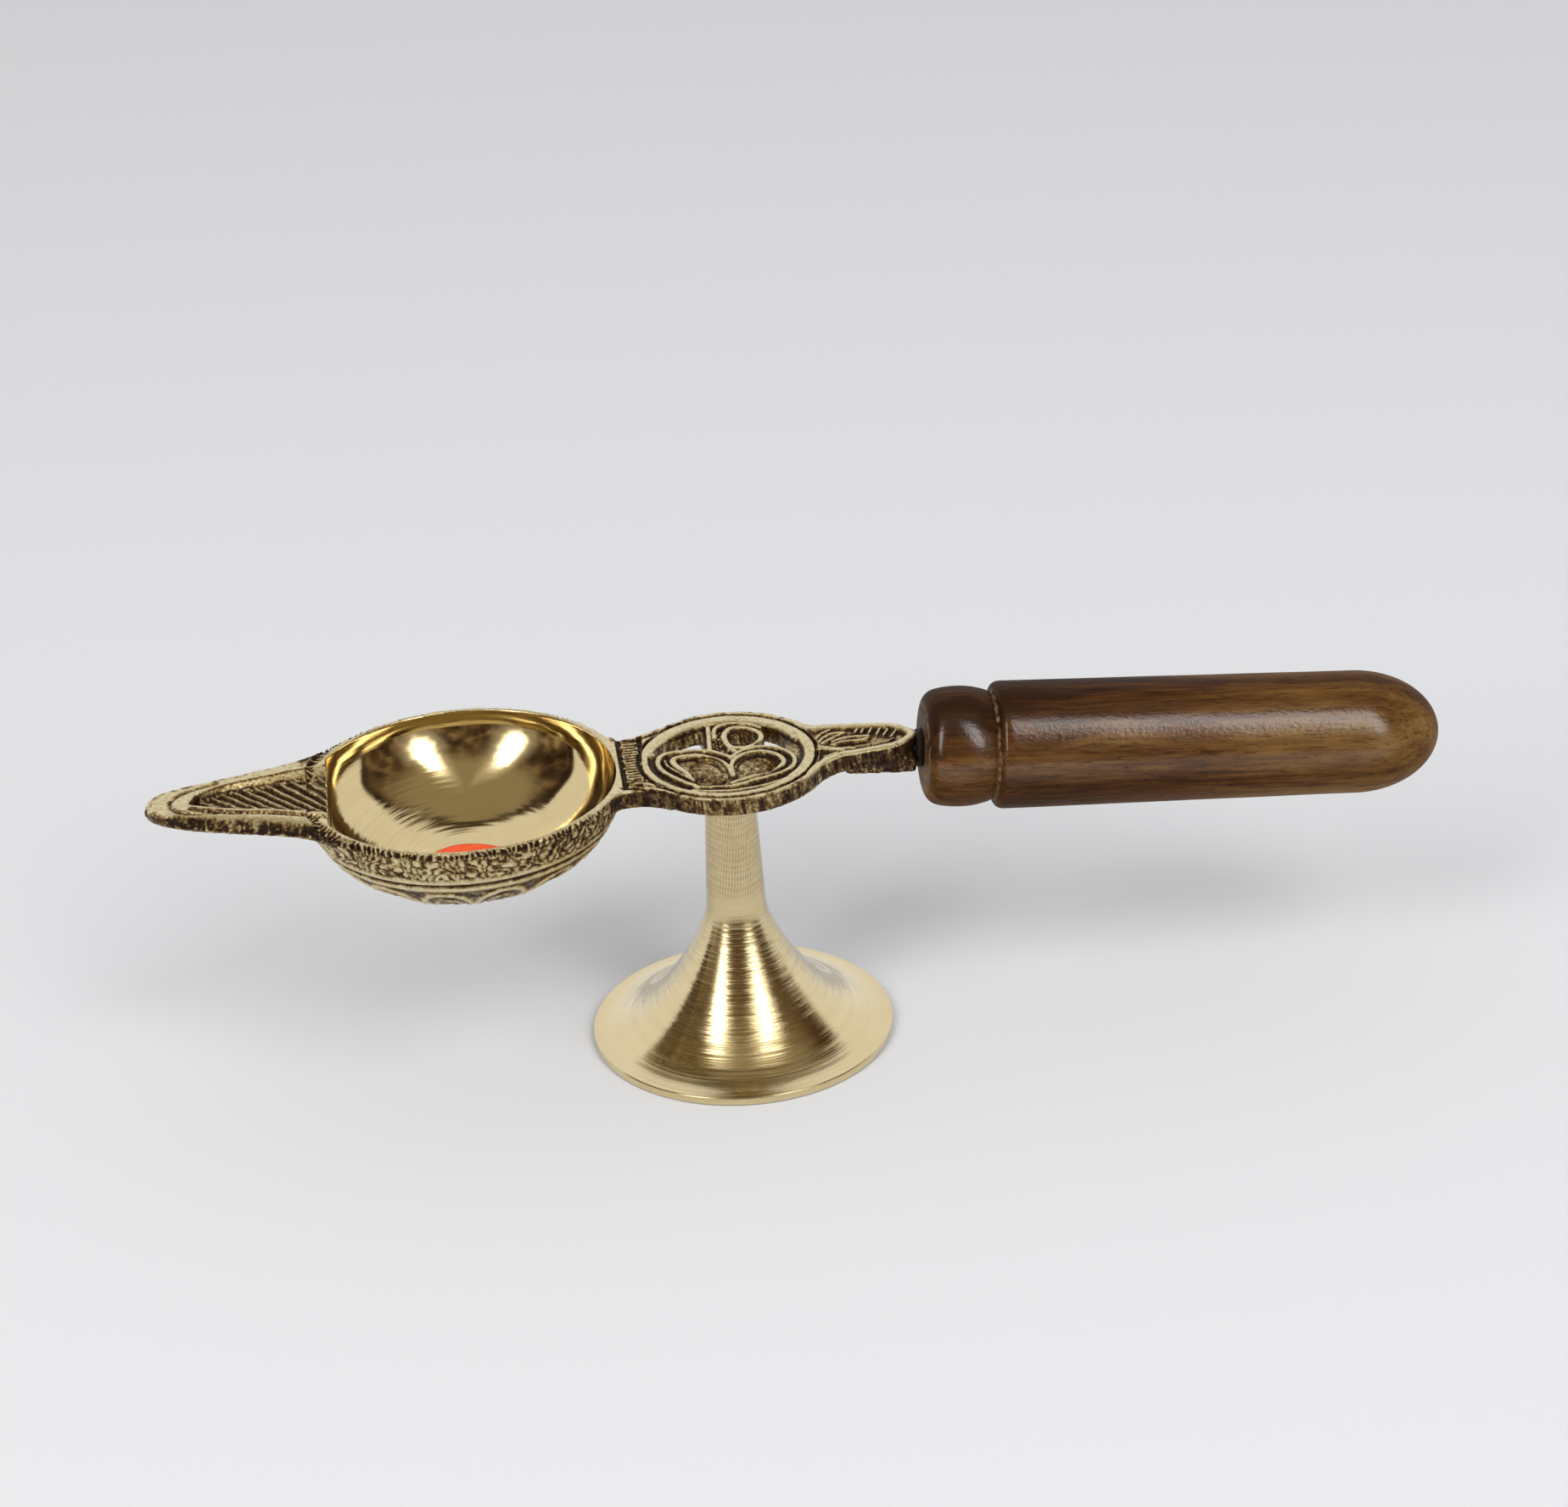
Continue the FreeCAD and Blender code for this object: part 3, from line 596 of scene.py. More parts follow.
def rod_hole_field(x, y, z):
    """Hole for the handle's rod."""
    axis = (x - HANDLE_AT[0]) * math.cos(HANDLE_DROP) - (z - HANDLE_AT[2]) * math.sin(HANDLE_DROP)
    lift = (x - HANDLE_AT[0]) * math.sin(HANDLE_DROP) + (z - HANDLE_AT[2]) * math.cos(HANDLE_DROP)
    return np.maximum(np.hypot(y, lift) - ROD_HOLE_R, ROD_HOLE_START - axis)


def cast_field(x, y, z, plan, fine):
    """Signed field of the whole casting, negative inside. fine adds the marks left by casting and filing."""
    edge, holes, height, under = plan
    top = z - (TOP + top_warp(x) + height)
    bowl = ellipsoid_gap(x, y, z, BOWL_R, SHELL_DEPTH)
    cavity = ellipsoid_gap(x, y, z, CAVITY_R, CAVITY_DEPTH)
    bar = bar_field(x, y, z)
    if fine:
        streak = side_streaks(x, y, z)
        edge = edge - 0.17 * streak - 0.12 * noise(x * 0.8, y * 0.8, z * 0.2) + 0.12
        holes = holes + 0.13 * streak
        bowl = bowl - bowl_decoration(x, y, z)
        cavity = cavity + 0.05 * noise(x * 0.22, y * 0.22, z * 0.3)
        top = top - 0.035 * noise(x * 1.9, y * 1.9, x * 0) - 0.05 * noise(x * 0.5, y * 0.5, x * 0 + 4)
        bar = bar - 0.12 * streak
    plate = soft_max(soft_max(edge, under - z, 0.7), -holes, 0.25)
    body = soft_min(soft_min(plate, bowl, 1.6), bar, 1.0)
    body = soft_max(body, top, 0.3)
    body = soft_max(body, -np.maximum(cavity, BOWL_CUT_X - x), 0.45)
    body = soft_min(body, boss_field(x, y, z), 0.4)
    stud_hole = np.maximum(np.hypot(x, y) - STUD_HOLE_R, z - STUD_HIGH[2] - 0.1)
    return np.maximum(np.maximum(body, -stud_hole), -rod_hole_field(x, y, z))


def stepped(*spans):
    """Coordinates through several spans, given as (start, end, step)."""
    return np.concatenate([np.arange(a, b - step / 2, step) for a, b, step in spans])


def surface_net(axes, volume):
    """Points and quads over the zero surface of a sampled field, one point in each crossed cell."""
    inside = volume < 0
    count = np.zeros(tuple(n - 1 for n in volume.shape), np.int8)
    for corner in np.ndindex(2, 2, 2):
        count += inside[tuple(slice(c, c + n) for c, n in zip(corner, count.shape))]
    mixed = (count > 0) & (count < 8)
    cells = np.argwhere(mixed)
    index = np.full(mixed.shape, -1, np.int32)
    index[mixed] = np.arange(len(cells))
    total, hits = np.zeros((len(cells), 3)), np.zeros(len(cells))
    quads = []
    for k in range(3):
        first, second = (k + 1) % 3, (k + 2) % 3
        for step in np.ndindex(2, 2):
            low = cells.copy()
            low[:, min(first, second)] += step[0]
            low[:, max(first, second)] += step[1]
            high = low + np.eye(3, dtype=int)[k]
            a, b = volume[tuple(low.T)], volume[tuple(high.T)]
            crosses = (a < 0) != (b < 0)
            t = a[crosses] / (a[crosses] - b[crosses])
            start, end = (np.stack([axes[n][at[crosses, n]] for n in range(3)], 1) for at in (low, high))
            total[crosses] += start + (end - start) * t[:, None]
            hits[crosses] += 1
        window = [slice(1, -1)] * 3
        window[k] = slice(None, -1)
        shifted = list(window)
        shifted[k] = slice(1, None)
        a, b = inside[tuple(window)], inside[tuple(shifted)]
        at = np.argwhere(a != b) + (1 - np.eye(3, dtype=int)[k])
        ring = []
        for u, v in ((-1, -1), (0, -1), (0, 0), (-1, 0)):
            cell = at.copy()
            cell[:, first] += u
            cell[:, second] += v
            ring.append(index[tuple(cell.T)])
        quad = np.stack(ring, 1)
        outward = a[a != b]
        quad[~outward] = quad[~outward][:, ::-1]
        quads.append(quad)
    return total / hits[:, None], np.concatenate(quads)


def cast_mesh(maps):
    """Points and quads of the casting, drawn onto the finely marked surface."""
    low, high = CAST_LOW - NET_MARGIN, CAST_HIGH + NET_MARGIN
    xs = stepped((low[0], -76, 0.2), (-76, -22, 0.34), (-22, high[0], 0.19))
    ys = stepped((low[1], -19.5, 0.34), (-19.5, 19.5, 0.2), (19.5, high[1] + 0.3, 0.34))
    zs = stepped((low[2] - NET_MARGIN, 53, 0.4), (53, 57, 0.27), (57, 63.2, 0.18))
    volume = np.empty((len(xs), len(ys), len(zs)), np.float32)
    for start in range(0, len(xs), 32):
        part = slice(start, start + 32)
        x, y = np.meshgrid(xs[part], ys, indexing="ij")
        columns = [grid[:, :, None] for grid in sample(maps, x, y)]
        volume[part] = cast_field(x[:, :, None], y[:, :, None], zs[None, None, :], columns, False)
    points, quads = surface_net((xs, ys, zs), volume)
    for _ in range(NEWTON_STEPS):
        value, slope = field_slope(points, maps, 0.05)
        move = -value[:, None] * slope / np.maximum((slope ** 2).sum(1), 0.2)[:, None]
        length = np.linalg.norm(move, axis=1)
        points += move * np.minimum(1, LONGEST_MOVE / np.maximum(length, 1e-9))[:, None]
    return points, quads


def field_slope(points, maps, reach):
    """Value of the fine field at points and its gradient."""
    def field(at):
        x, y, z = at.T
        return cast_field(x, y, z, sample(maps, x, y), True)

    value = field(points)
    return value, np.stack([(field(points + step) - value) / reach for step in np.eye(3) * reach], 1)


def cast_finish(points, maps, shade_map):
    """How dark the patina, painted shade and painted light are, how polished the metal is, and which points
    lie on upright walls.
    """
    x, y, z = points.T
    edge, holes, height, under = sample(maps, x, y)
    shade = sample([shade_map], x, y)[0]
    below = TOP + top_warp(x) + height - z
    streak = side_streaks(x, y, z)
    blotch = noise(x * 0.9, y * 0.9, z * 0.9)
    speck = noise(x * 2.3, y * 2.3, z * 2.3)
    # the top: patina and painted shade in the decoration, dirt at the far root of the spout, at the edges and
    # on the near shoulder
    face = 0.05 + 0.88 * shade + 0.18 * speck + 0.1 * blotch
    face += 0.45 * blend(-86, -80, x) * blend(-64, -70, x) * blend(10, 13, y)
    face += 0.5 * blend(-1.9, -0.2, edge) * np.clip(0.3 + blotch + 0.7 * speck, 0, 1) * (x < 14)
    strokes = np.clip(0.55 - 0.9 * noise(x * 2.2, y * 0.5, z * 0) + 0.2 * speck, 0, 1)
    face += 0.8 * blend(0.1, 0.6, near_shoulder(x, y, edge)) * strokes
    # the sides: darker towards the handle, painted shadow at the neck, paler in the openings; painted shade
    # on the boss under the plate, and painted light on its far side
    side = 0.66 - 0.22 * streak + 0.22 * blotch + 0.16 * speck - 0.1 * blend(0.8, 0.3, below)
    # darker towards the handle, and painted shadow on the walls beside the neck
    side += 0.16 * blend(16, 22, x) + 0.2 * blend(-9, -16, x) * (x > -30)
    # the boss under the plate gets painted shade, and painted light on its far side, where it shows lit
    # through the eye opening
    on_boss = (np.hypot(x, y) < BOSS_ROOT_R + 0.3) * (below > 1.0)
    side = side - 0.1 * blend(1.2, 0.6, holes) + on_boss * (0.08 - 0.4 * blend(2.5, 4.5, y))
    wall = 1 - blend(0.45, 0.2, below)
    patina = face * (1 - wall) + np.clip(side, 0, 1) * wall
    # the outside of the bowl: dirt between the raised parts
    out = np.hypot(x - BOWL_X, y)
    at_rim = (out > BOWL_R - 4) & (x > -76) & (x < -24)
    on_shell = (np.abs(ellipsoid_gap(x, y, z, BOWL_R, SHELL_DEPTH)) < 1.0) & (below > 0.3)
    on_shell &= (below > 0.5) & (under - z > -0.5) | at_rim
    turned_away = blend(-0.2, 0.75, (x - BOWL_X) / BOWL_R)
    shell = np.clip(0.31 - 1.9 * bowl_decoration(x, y, z) + 0.2 * blotch + 0.16 * turned_away, 0, 1)
    patina = np.where(on_shell, shell, patina)
    wall = np.where(on_shell, 0, wall)
    # the polished cavity, and the rim round it
    cavity = np.maximum(ellipsoid_gap(x, y, z, CAVITY_R, CAVITY_DEPTH), BOWL_CUT_X - x)
    polish = blend(0.35, 0.15, np.abs(cavity)) * (below > 0.25)
    on_rim = (np.abs(out - BOWL_R + 1.0) < 1.1) & (below < 0.3) & (height > -0.3)
    patina = np.where(on_rim, 0.25 * patina, patina)
    return np.clip(patina, 0, 1) * (1 - polish), polish, wall * (1 - polish)


# ---------------------------------------------------------------- meshes

def make_piece(name, mesh_data, body, node, material, values=None, matrix=None):
    """One visible piece: its mesh, its finish, and the CAD body it moves with. Points are in mm."""
    points, faces = mesh_data
    mesh = bpy.data.meshes.new(name)
    mesh.vertices.add(len(points))
    mesh.vertices.foreach_set("co", (np.asarray(points) * MM).astype(np.float32).ravel())
    corners = np.concatenate([f.ravel() for f in faces]).astype(np.int32)
    sizes = np.concatenate([np.full(len(f), f.shape[1]) for f in faces])
    mesh.loops.add(len(corners))
    mesh.loops.foreach_set("vertex_index", corners)
    mesh.polygons.add(len(sizes))
    mesh.polygons.foreach_set("loop_start", (np.cumsum(sizes) - sizes).astype(np.int32))
    mesh.polygons.foreach_set("use_smooth", np.ones(len(sizes), bool))
    mesh.update(calc_edges=True)
    for key, value in (values or {}).items():
        layer = mesh.attributes.new(key, "FLOAT", "POINT")
        layer.data.foreach_set("value", np.asarray(value, np.float32).ravel())
    piece = bpy.data.objects.new(name, mesh)
    bpy.context.scene.collection.objects.link(piece)
    if matrix is not None:
        piece.matrix_world = matrix
    mesh.materials.append(material)
    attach(piece, body)
    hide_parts(node)


def bezier(a, b, c, d, count):
    """Points along one cubic Bezier, without its last point."""
    t = np.linspace(0, 1, count, endpoint=False)[:, None]
    a, b, c, d = (np.array(p, float) for p in (a, b, c, d))
    return a * (1 - t) ** 3 + 3 * b * t * (1 - t) ** 2 + 3 * c * t ** 2 * (1 - t) + d * t ** 3


def corner(a, b, c, count):
    """Rounded corner from a to c round b, without its last point."""
    return bezier(a, b, b, c, count)


def straight(a, b, count):
    """Points along a line, without its last point."""
    t = np.linspace(0, 1, count, endpoint=False)[:, None]
    return np.array(a, float) * (1 - t) + np.array(b, float) * t


def tube_faces(rows, columns, closed=False):
    """Faces of a tube made of rows of points, each row a ring, capped unless its two ends meet."""
    i, j = np.meshgrid(np.arange(rows if closed else rows - 1), np.arange(columns), indexing="ij")
    i2, j2 = (i + 1) % rows, (j + 1) % columns
    corners = [i * columns + j, i * columns + j2, i2 * columns + j2, i2 * columns + j]
    faces = [np.stack(corners, -1).reshape(-1, 4)]
    if not closed:
        ring = np.arange(columns)
        faces += [ring[::-1][None], (ring + (rows - 1) * columns)[None]]
    return faces


def lathe(profile, segments, relief=None, closed=False, upright=False):
    """Points and faces of a profile of (distance along the axis, radius), turned about the axis."""
    angle = np.arange(segments) * 2 * math.pi / segments
    at, radius = profile[:, 0][:, None], profile[:, 1][:, None]
    radius = radius + (relief(at, angle[None, :]) if relief else 0)
    at = at + 0 * angle
    round_axis = [radius * np.cos(angle), radius * np.sin(angle)]
    grid = np.stack(round_axis + [at] if upright else [at] + round_axis, -1)
    return grid.reshape(-1, 3), tube_faces(len(profile), segments, closed)


# ---------------------------------------------------------------- shader trees

class Value:
    """One output in a node tree. Arithmetic on it adds math nodes."""

    def __init__(self, nodes, socket):
        self.nodes = nodes
        self.socket = socket

    def __add__(self, other):
        return self.nodes.math("ADD", self, other)

    def __sub__(self, other):
        return self.nodes.math("SUBTRACT", self, other)

    def __rsub__(self, other):
        return self.nodes.math("SUBTRACT", other, self)

    def __mul__(self, other):
        return self.nodes.math("MULTIPLY", self, other)

    def __truediv__(self, other):
        return self.nodes.math("DIVIDE", self, other)


class Nodes:
    """A node tree, built from small steps."""

    def __init__(self, tree):
        self.tree = tree

    def feed(self, value, socket):
        if isinstance(value, Value):
            self.tree.links.new(value.socket, socket)
        else:
            socket.default_value = value

    def node(self, kind, inputs, output=0, **settings):
        """Adds a node, makes its settings, feeds its inputs and gives one of its outputs."""
        node = self.tree.nodes.new("ShaderNode" + kind)
        for key, setting in settings.items():
            setattr(node, key, setting)
        for key, value in inputs.items():
            self.feed(value, node.inputs[key])
        return Value(self, node.outputs[output])

    def math(self, operation, a, b=0.0, clamp=False):
        return self.node("Math", {0: a, 1: b}, operation=operation, use_clamp=clamp)

    def mix(self, factor, a, b):
        return self.node("Mix", {"Factor": factor, "A": a, "B": b}, "Result", data_type="RGBA")

    def vector(self, operation, a, b):
        return self.node("VectorMath", {0: a, 1: b}, "Vector", operation=operation)

    def length(self, vector):
        return self.node("VectorMath", {0: vector}, "Value", operation="LENGTH")

    def noise(self, vector, scale, detail=2.0, roughness=0.5, distortion=0.0):
        inputs = {"Vector": vector, "Scale": scale, "Detail": detail, "Roughness": roughness,
                  "Distortion": distortion}
        return self.node("TexNoise", inputs, "Fac")

    def spread(self, value, low, high, to_low=0.0, to_high=1.0):
        """Smooth ramp from one range to another."""
        inputs = {"Value": value, "From Min": low, "From Max": high, "To Min": to_low, "To Max": to_high}
        return self.node("MapRange", inputs, "Result", interpolation_type="SMOOTHSTEP")

    def band(self, value, low, high, soft):
        """1 between low and high, 0 outside them."""
        return self.spread(value, low - soft, low + soft) * self.spread(value, high + soft, high - soft)

    def ramp(self, value, stops):
        ramp = self.node("ValToRGB", {"Fac": value}, "Color")
        elements = ramp.socket.node.color_ramp.elements
        while len(elements) < len(stops):
            elements.new(0.5)
        for element, (at, colour) in zip(elements, stops):
            element.position = at
            element.color = (*colour, 1)
        return ramp

    def attribute(self, name):
        return self.node("Attribute", {}, "Fac", attribute_name=name)

    def axes(self, vector):
        separate = self.node("SeparateXYZ", {0: vector}).socket.node
        return [Value(self, output) for output in separate.outputs]

    def joined(self, x, y, z):
        return self.node("CombineXYZ", {0: x, 1: y, 2: z})

    def bump(self, height, distance, strength=1.0, normal=None):
        inputs = {"Height": height, "Distance": distance, "Strength": strength}
        if normal is not None:
            inputs["Normal"] = normal
        return self.node("Bump", inputs, "Normal")


class Shader(Nodes):
    """A material on the Principled surface, with its coordinates taken from the piece."""

    def __init__(self, name):
        self.material = bpy.data.materials.new(name)
        self.material.use_nodes = True
        super().__init__(self.material.node_tree)
        self.bsdf = self.tree.nodes["Principled BSDF"]
        self.object = self.node("TexCoord", {}, "Object")

    def surface(self, **inputs):
        for key, value in inputs.items():
            self.feed(value, self.bsdf.inputs[key.replace("_", " ")])
        return self.material


# ---------------------------------------------------------------- materials

def cast_brass():
    """Old cast brass: pale rubbed high spots, brown-black patina and painted shade in the recesses, a
    polished gold bowl.
    """
    s = Shader("cast_brass_old")
    # on the head, patina also holds painted shade and painted light
    patina, polish, wall = (s.attribute(name) for name in ("patina", "polish", "wall"))
    grain = s.noise(s.object, 1300, 3, 0.6)
    cloud = s.noise(s.object, 210, 2)
    fine = s.noise(s.object, 2600, 2)
    x, y, z = s.axes(s.object)
    file_marks = s.noise(s.joined(x + z * 0.2, y, z * 0.14), 1900, 2, 0.6)
    wander = grain * 0.75 + cloud * 0.22 + fine * 0.35
    marks = (file_marks - 0.5) * 1.1 * wall
    dark = s.math("MULTIPLY", patina + wander - 0.66 + marks, 1.0 - polish, clamp=True)
    colour = s.ramp(dark, ((0.0, (0.74, 0.64, 0.39)), (0.22, (0.60, 0.49, 0.26)), (0.48, (0.28, 0.185, 0.07)),
                           (0.72, (0.065, 0.034, 0.015)), (1.0, (0.016, 0.008, 0.005))))
    # in the bowl, everything follows the swing of the lathe tool from the bottom to the rim
    from_middle = s.vector("SUBTRACT", s.object, (BOWL_X * MM, 0, TOP * MM))
    across, aside, lift = s.axes(from_middle)
    swing = s.math("ARCTAN2", s.length(s.joined(across, aside, 0.0)), lift * (-BOWL_R / BOWL_DEPTH))
    lines = s.spread(s.noise(s.joined(swing * 120, 2.0, 0.0), 1.0, 2, 0.6), 0.56, 0.68, 0.0, 0.6)
    rings = s.noise(s.joined(swing * 75, 0.0, 0.0), 1.0, 3, 0.7)
    coarse_rings = s.noise(s.joined(swing * 21, 4.0, 0.0), 1.0, 1)
    gold = s.mix(cloud, (0.70, 0.57, 0.32, 1), (0.63, 0.50, 0.26, 1))
    gold = s.mix(lines * s.spread(across, 0.002, -0.012), gold, (0.30, 0.20, 0.07, 1))
    shine = s.spread(cloud, 0.3, 0.7, 0.06, 0.11) + s.spread(rings, 0.55, 0.75, 0.0, 0.10)
    patchy = s.spread(s.noise(s.object, 75, 2), 0.4, 0.65, 0.35, 1.0)
    patchy = patchy * s.spread(swing, 1.15, 0.7, 0.25, 1.0) * s.spread(across, 0.006, -0.016, 0.28, 1.0)
    rough = s.spread(dark, 0.1, 0.7, 0.36, 0.42) + (grain - 0.5) * 0.3 - wall * 0.17
    rough = rough + (shine - rough) * polish
    normal = s.bump(fine + grain * 1.4, 0.00007, 1.0 - polish)
    normal = s.bump(file_marks, 0.0002, wall, normal)
    normal = s.bump(rings + coarse_rings * 4.0, 0.000042, polish * patchy, normal)
    return s.surface(Base_Color=s.mix(polish, colour, gold), Metallic=s.spread(dark, 0.45, 0.95, 1.0, 0.45),
                     Roughness=rough, Normal=normal, Specular_IOR_Level=s.spread(dark, 0.4, 0.9, 0.5, 0.1))


def turned_brass():
    """Lathe-turned brass under thin lacquer: fine rings along the profile, a satin chattered stem."""
    s = Shader("turned_brass_bright")
    along_profile, satin, patina = (s.attribute(name) for name in ("along", "satin", "patina"))
    cloud = s.noise(s.object, 120, 3)
    speck = s.noise(s.object, 1500, 2)
    rings = s.noise(s.joined(along_profile * 1.7, 0, 0), 1.0, 4, 0.75)
    wide = s.noise(s.joined(along_profile * 0.35, 0, 0), 1.0, 2)
    coarse = s.noise(s.joined(along_profile * 0.9, cloud * 0.8, 0), 1.0, 1)
    colour = s.ramp(wide * 0.7 + cloud * 0.4, ((0.25, (0.76, 0.64, 0.37)), (0.75, (0.66, 0.52, 0.26))))
    stain = s.math("ADD", patina, s.spread(speck, 0.70, 0.76, 0.0, 0.35), clamp=True)
    rough = s.spread(rings + cloud * 0.5, 0.5, 1.0, 0.06, 0.16) + satin * 0.24
    normal = s.bump(rings + coarse * 1.5, 0.00009, 1.0 - satin * 0.75)
    normal = s.bump(speck, 0.00003, satin, normal)
    return s.surface(Base_Color=s.mix(stain, colour, (0.16, 0.09, 0.03, 1)), Metallic=1.0, Roughness=rough,
                     Normal=normal, Coat_Weight=1.0, Coat_Roughness=0.06)


def walnut():
    """Varnished brown hardwood, its grain running along the handle, with painted shade along its top."""
    s = Shader("varnished_walnut")

    def stretched(place, lengthwise, crosswise, *detail):
        """Noise drawn out along the handle."""
        return s.noise(s.vector("MULTIPLY", place, (lengthwise, crosswise, crosswise)), 1.0, *detail)

    waves = stretched(s.object, 30, 60, 3, 0.5)
    bent = s.vector("ADD", s.object, s.joined(0.0, waves * 0.004, 0.0))
    figure = stretched(bent, 9, 120, 4, 0.6, 0.6)
    streaks = stretched(bent, 60, 1100, 4, 0.7)
    blotch = stretched(s.object, 24, 70, 4, 0.6, 0.7)
    x, _, z = s.axes(s.object)
    # darker towards the top of the handle: painted shade
    tone = figure * 0.62 + streaks * 0.46 - s.spread(z, -0.0115, 0.0095, 0.03, 0.175)
    tone = tone + (blotch - 0.46) * 0.5 + s.spread(x, 0.0, 0.1, -0.07, 0.07)
    colour = s.ramp(tone, ((0.28, (0.026, 0.009, 0.003)), (0.40, (0.070, 0.026, 0.006)),
                           (0.52, (0.128, 0.058, 0.014)), (0.68, (0.21, 0.118, 0.036))))
    pores = s.spread(stretched(bent, 330, 2600, 2, 0.5), 0.62, 0.70)
    dashes = s.spread(stretched(bent, 190, 1500, 1, 0.5), 0.64, 0.72)
    pore = s.math("MAXIMUM", pores, dashes)
    wear = s.attribute("patina")
    colour = s.mix(pore * 0.5, colour, (0.016, 0.007, 0.003, 1))
    colour = s.mix(wear, colour, (0.34, 0.24, 0.14, 1))
    film = stretched(s.object, 1000, 1500, 3, 0.6)
    varnish = s.spread(s.node("LayerWeight", {}, "Facing"), 0.05, 0.30, 1.0, 0.03)
    return s.surface(Base_Color=colour, Roughness=s.spread(streaks, 0.3, 0.7, 0.42, 0.55) + wear * 0.2,
                     Normal=s.bump(film * 1.6 - pore, 0.00009), Specular_IOR_Level=0.04, Coat_Weight=varnish,
                     Coat_Roughness=0.13, Coat_Normal=s.bump(film, 0.00005))


def steel():
    """Zinc-plated steel with a dull sheen."""
    s = Shader("plated_steel")
    cloud = s.noise(s.object, 500, 3)
    colour = s.ramp(cloud, ((0.3, (0.62, 0.61, 0.56)), (0.7, (0.42, 0.41, 0.38))))
    return s.surface(Base_Color=colour, Metallic=1.0, Roughness=s.spread(cloud, 0.3, 0.7, 0.26, 0.42),
                     Normal=s.bump(s.noise(s.object, 4000, 2), 0.00001))


def resin_with_gap_shade():
    """Dark brown resin, glossy with fine bubbles, so dark that it is also painted shade for the gap in front
    of the handle.
    """
    s = Shader("bedding_resin_gap_shade")
    bubbles = s.noise(s.object, 1800, 2)
    colour = s.ramp(bubbles, ((0.35, (0.008, 0.005, 0.003)), (0.7, (0.022, 0.013, 0.008))))
    return s.surface(Base_Color=colour, Roughness=s.spread(bubbles, 0.3, 0.7, 0.4, 0.6),
                     Normal=s.bump(bubbles, 0.00004), Specular_IOR_Level=0.15)


def label_paper():
    """Orange-red paper label, blank, with soft fibres."""
    s = Shader("label_paper_red")
    fibre = s.noise(s.vector("MULTIPLY", s.object, (1, 2.2, 1)), 900, 4, 0.7)
    colour = s.ramp(fibre, ((0.3, (0.86, 0.085, 0.022)), (0.7, (0.96, 0.14, 0.04))))
    return s.surface(Base_Color=colour, Roughness=0.62, Normal=s.bump(fibre, 0.00002))


# ---------------------------------------------------------------- the cast head

def cast_head(material):
    """Bowl, spout, neck, medallion and leaf in one casting."""
    relief = Relief()
    edge = plan_edge()
    carve_spout(relief, edge)
    carve_rim(relief)
    carve_neck(relief)
    carve_medallion(relief)
    carve_leaf(relief, edge)
    maps = [edge, plan_holes(), relief.height, plan_under()]
    points, quads = cast_mesh(maps)
    patina, polish, wall = cast_finish(points, maps, plan_shade(relief.height))
    # the head's patina attribute also carries painted shade and painted light
    values = {"patina": patina, "polish": polish, "wall": wall}
    make_piece("cast_head", (points, [quads]), "head", "lamp_casting", material, values)


# ---------------------------------------------------------------- the turned foot

FOOT_R = FOOT_HIGH[0]
FOOT_RIM_Z = 1.6
FOOT_RING_R = 27.4                       # inner radius of the ring that the foot stands on
FOOT_CROWN_Z = 13.6                      # top of the hollow under the foot
FOOT_SEGMENTS = 360
STEM_TOP = FOOT_HIGH[2]
STEM_TOP_R = 4.95
STEM_ROOT = (29.0, 5.9)                  # height and radius where the stem runs into the flare
STUD_BORE_R = 2.52
STUD_BORE_Z = STUD_LOW[2] - 0.8
CENTRE_R = 0.05                          # turned profiles start and end this far from their axis


def foot_profile():
    """Half section of the foot from the floor of its bore, over the outside, to the hollow's crown."""
    root_z, root_r = STEM_ROOT
    return np.vstack([
        straight((STUD_BORE_Z, CENTRE_R), (STUD_BORE_Z, STUD_BORE_R), 6),
        straight((STUD_BORE_Z, STUD_BORE_R), (STEM_TOP - 0.2, STUD_BORE_R), 30),
        straight((STEM_TOP - 0.2, STUD_BORE_R), (STEM_TOP, STUD_BORE_R + 0.2), 3),
        straight((STEM_TOP, STUD_BORE_R + 0.2), (STEM_TOP, STEM_TOP_R - 0.3), 10),
        corner((STEM_TOP, STEM_TOP_R - 0.3), (STEM_TOP, STEM_TOP_R), (STEM_TOP - 0.4, STEM_TOP_R), 5),
        straight((STEM_TOP - 0.4, STEM_TOP_R), STEM_ROOT, 170),
        bezier(STEM_ROOT, (root_z - 5.0, root_r + 0.15), (FOOT_RIM_Z, FOOT_R - 13.1),
               (FOOT_RIM_Z, FOOT_R - 0.5), 170),
        corner((FOOT_RIM_Z, FOOT_R - 0.5), (FOOT_RIM_Z, FOOT_R), (FOOT_RIM_Z - 0.6, FOOT_R), 6),
        straight((FOOT_RIM_Z - 0.6, FOOT_R), (0.5, FOOT_R), 4),
        corner((0.5, FOOT_R), (0, FOOT_R), (0, FOOT_R - 0.5), 6),
        straight((0, FOOT_R - 0.5), (0, FOOT_RING_R), 6),
        straight((0, FOOT_RING_R), (0.35, FOOT_RING_R), 2),
        bezier((0.35, FOOT_RING_R), (0.35, 16.0), (FOOT_CROWN_Z, 10.0), (FOOT_CROWN_Z, CENTRE_R), 70),
        [(FOOT_CROWN_Z, CENTRE_R)],
    ])


def foot_outer(z):
    """Outer radius of the foot at a height. The profile's first points wider than the stem lie outside."""
    profile = foot_profile()
    outer = profile[profile[:, 1] > STEM_TOP_R - 0.05][:360]
    order = np.argsort(outer[:, 0])
    return np.interp(z, outer[order, 0], outer[order, 1])


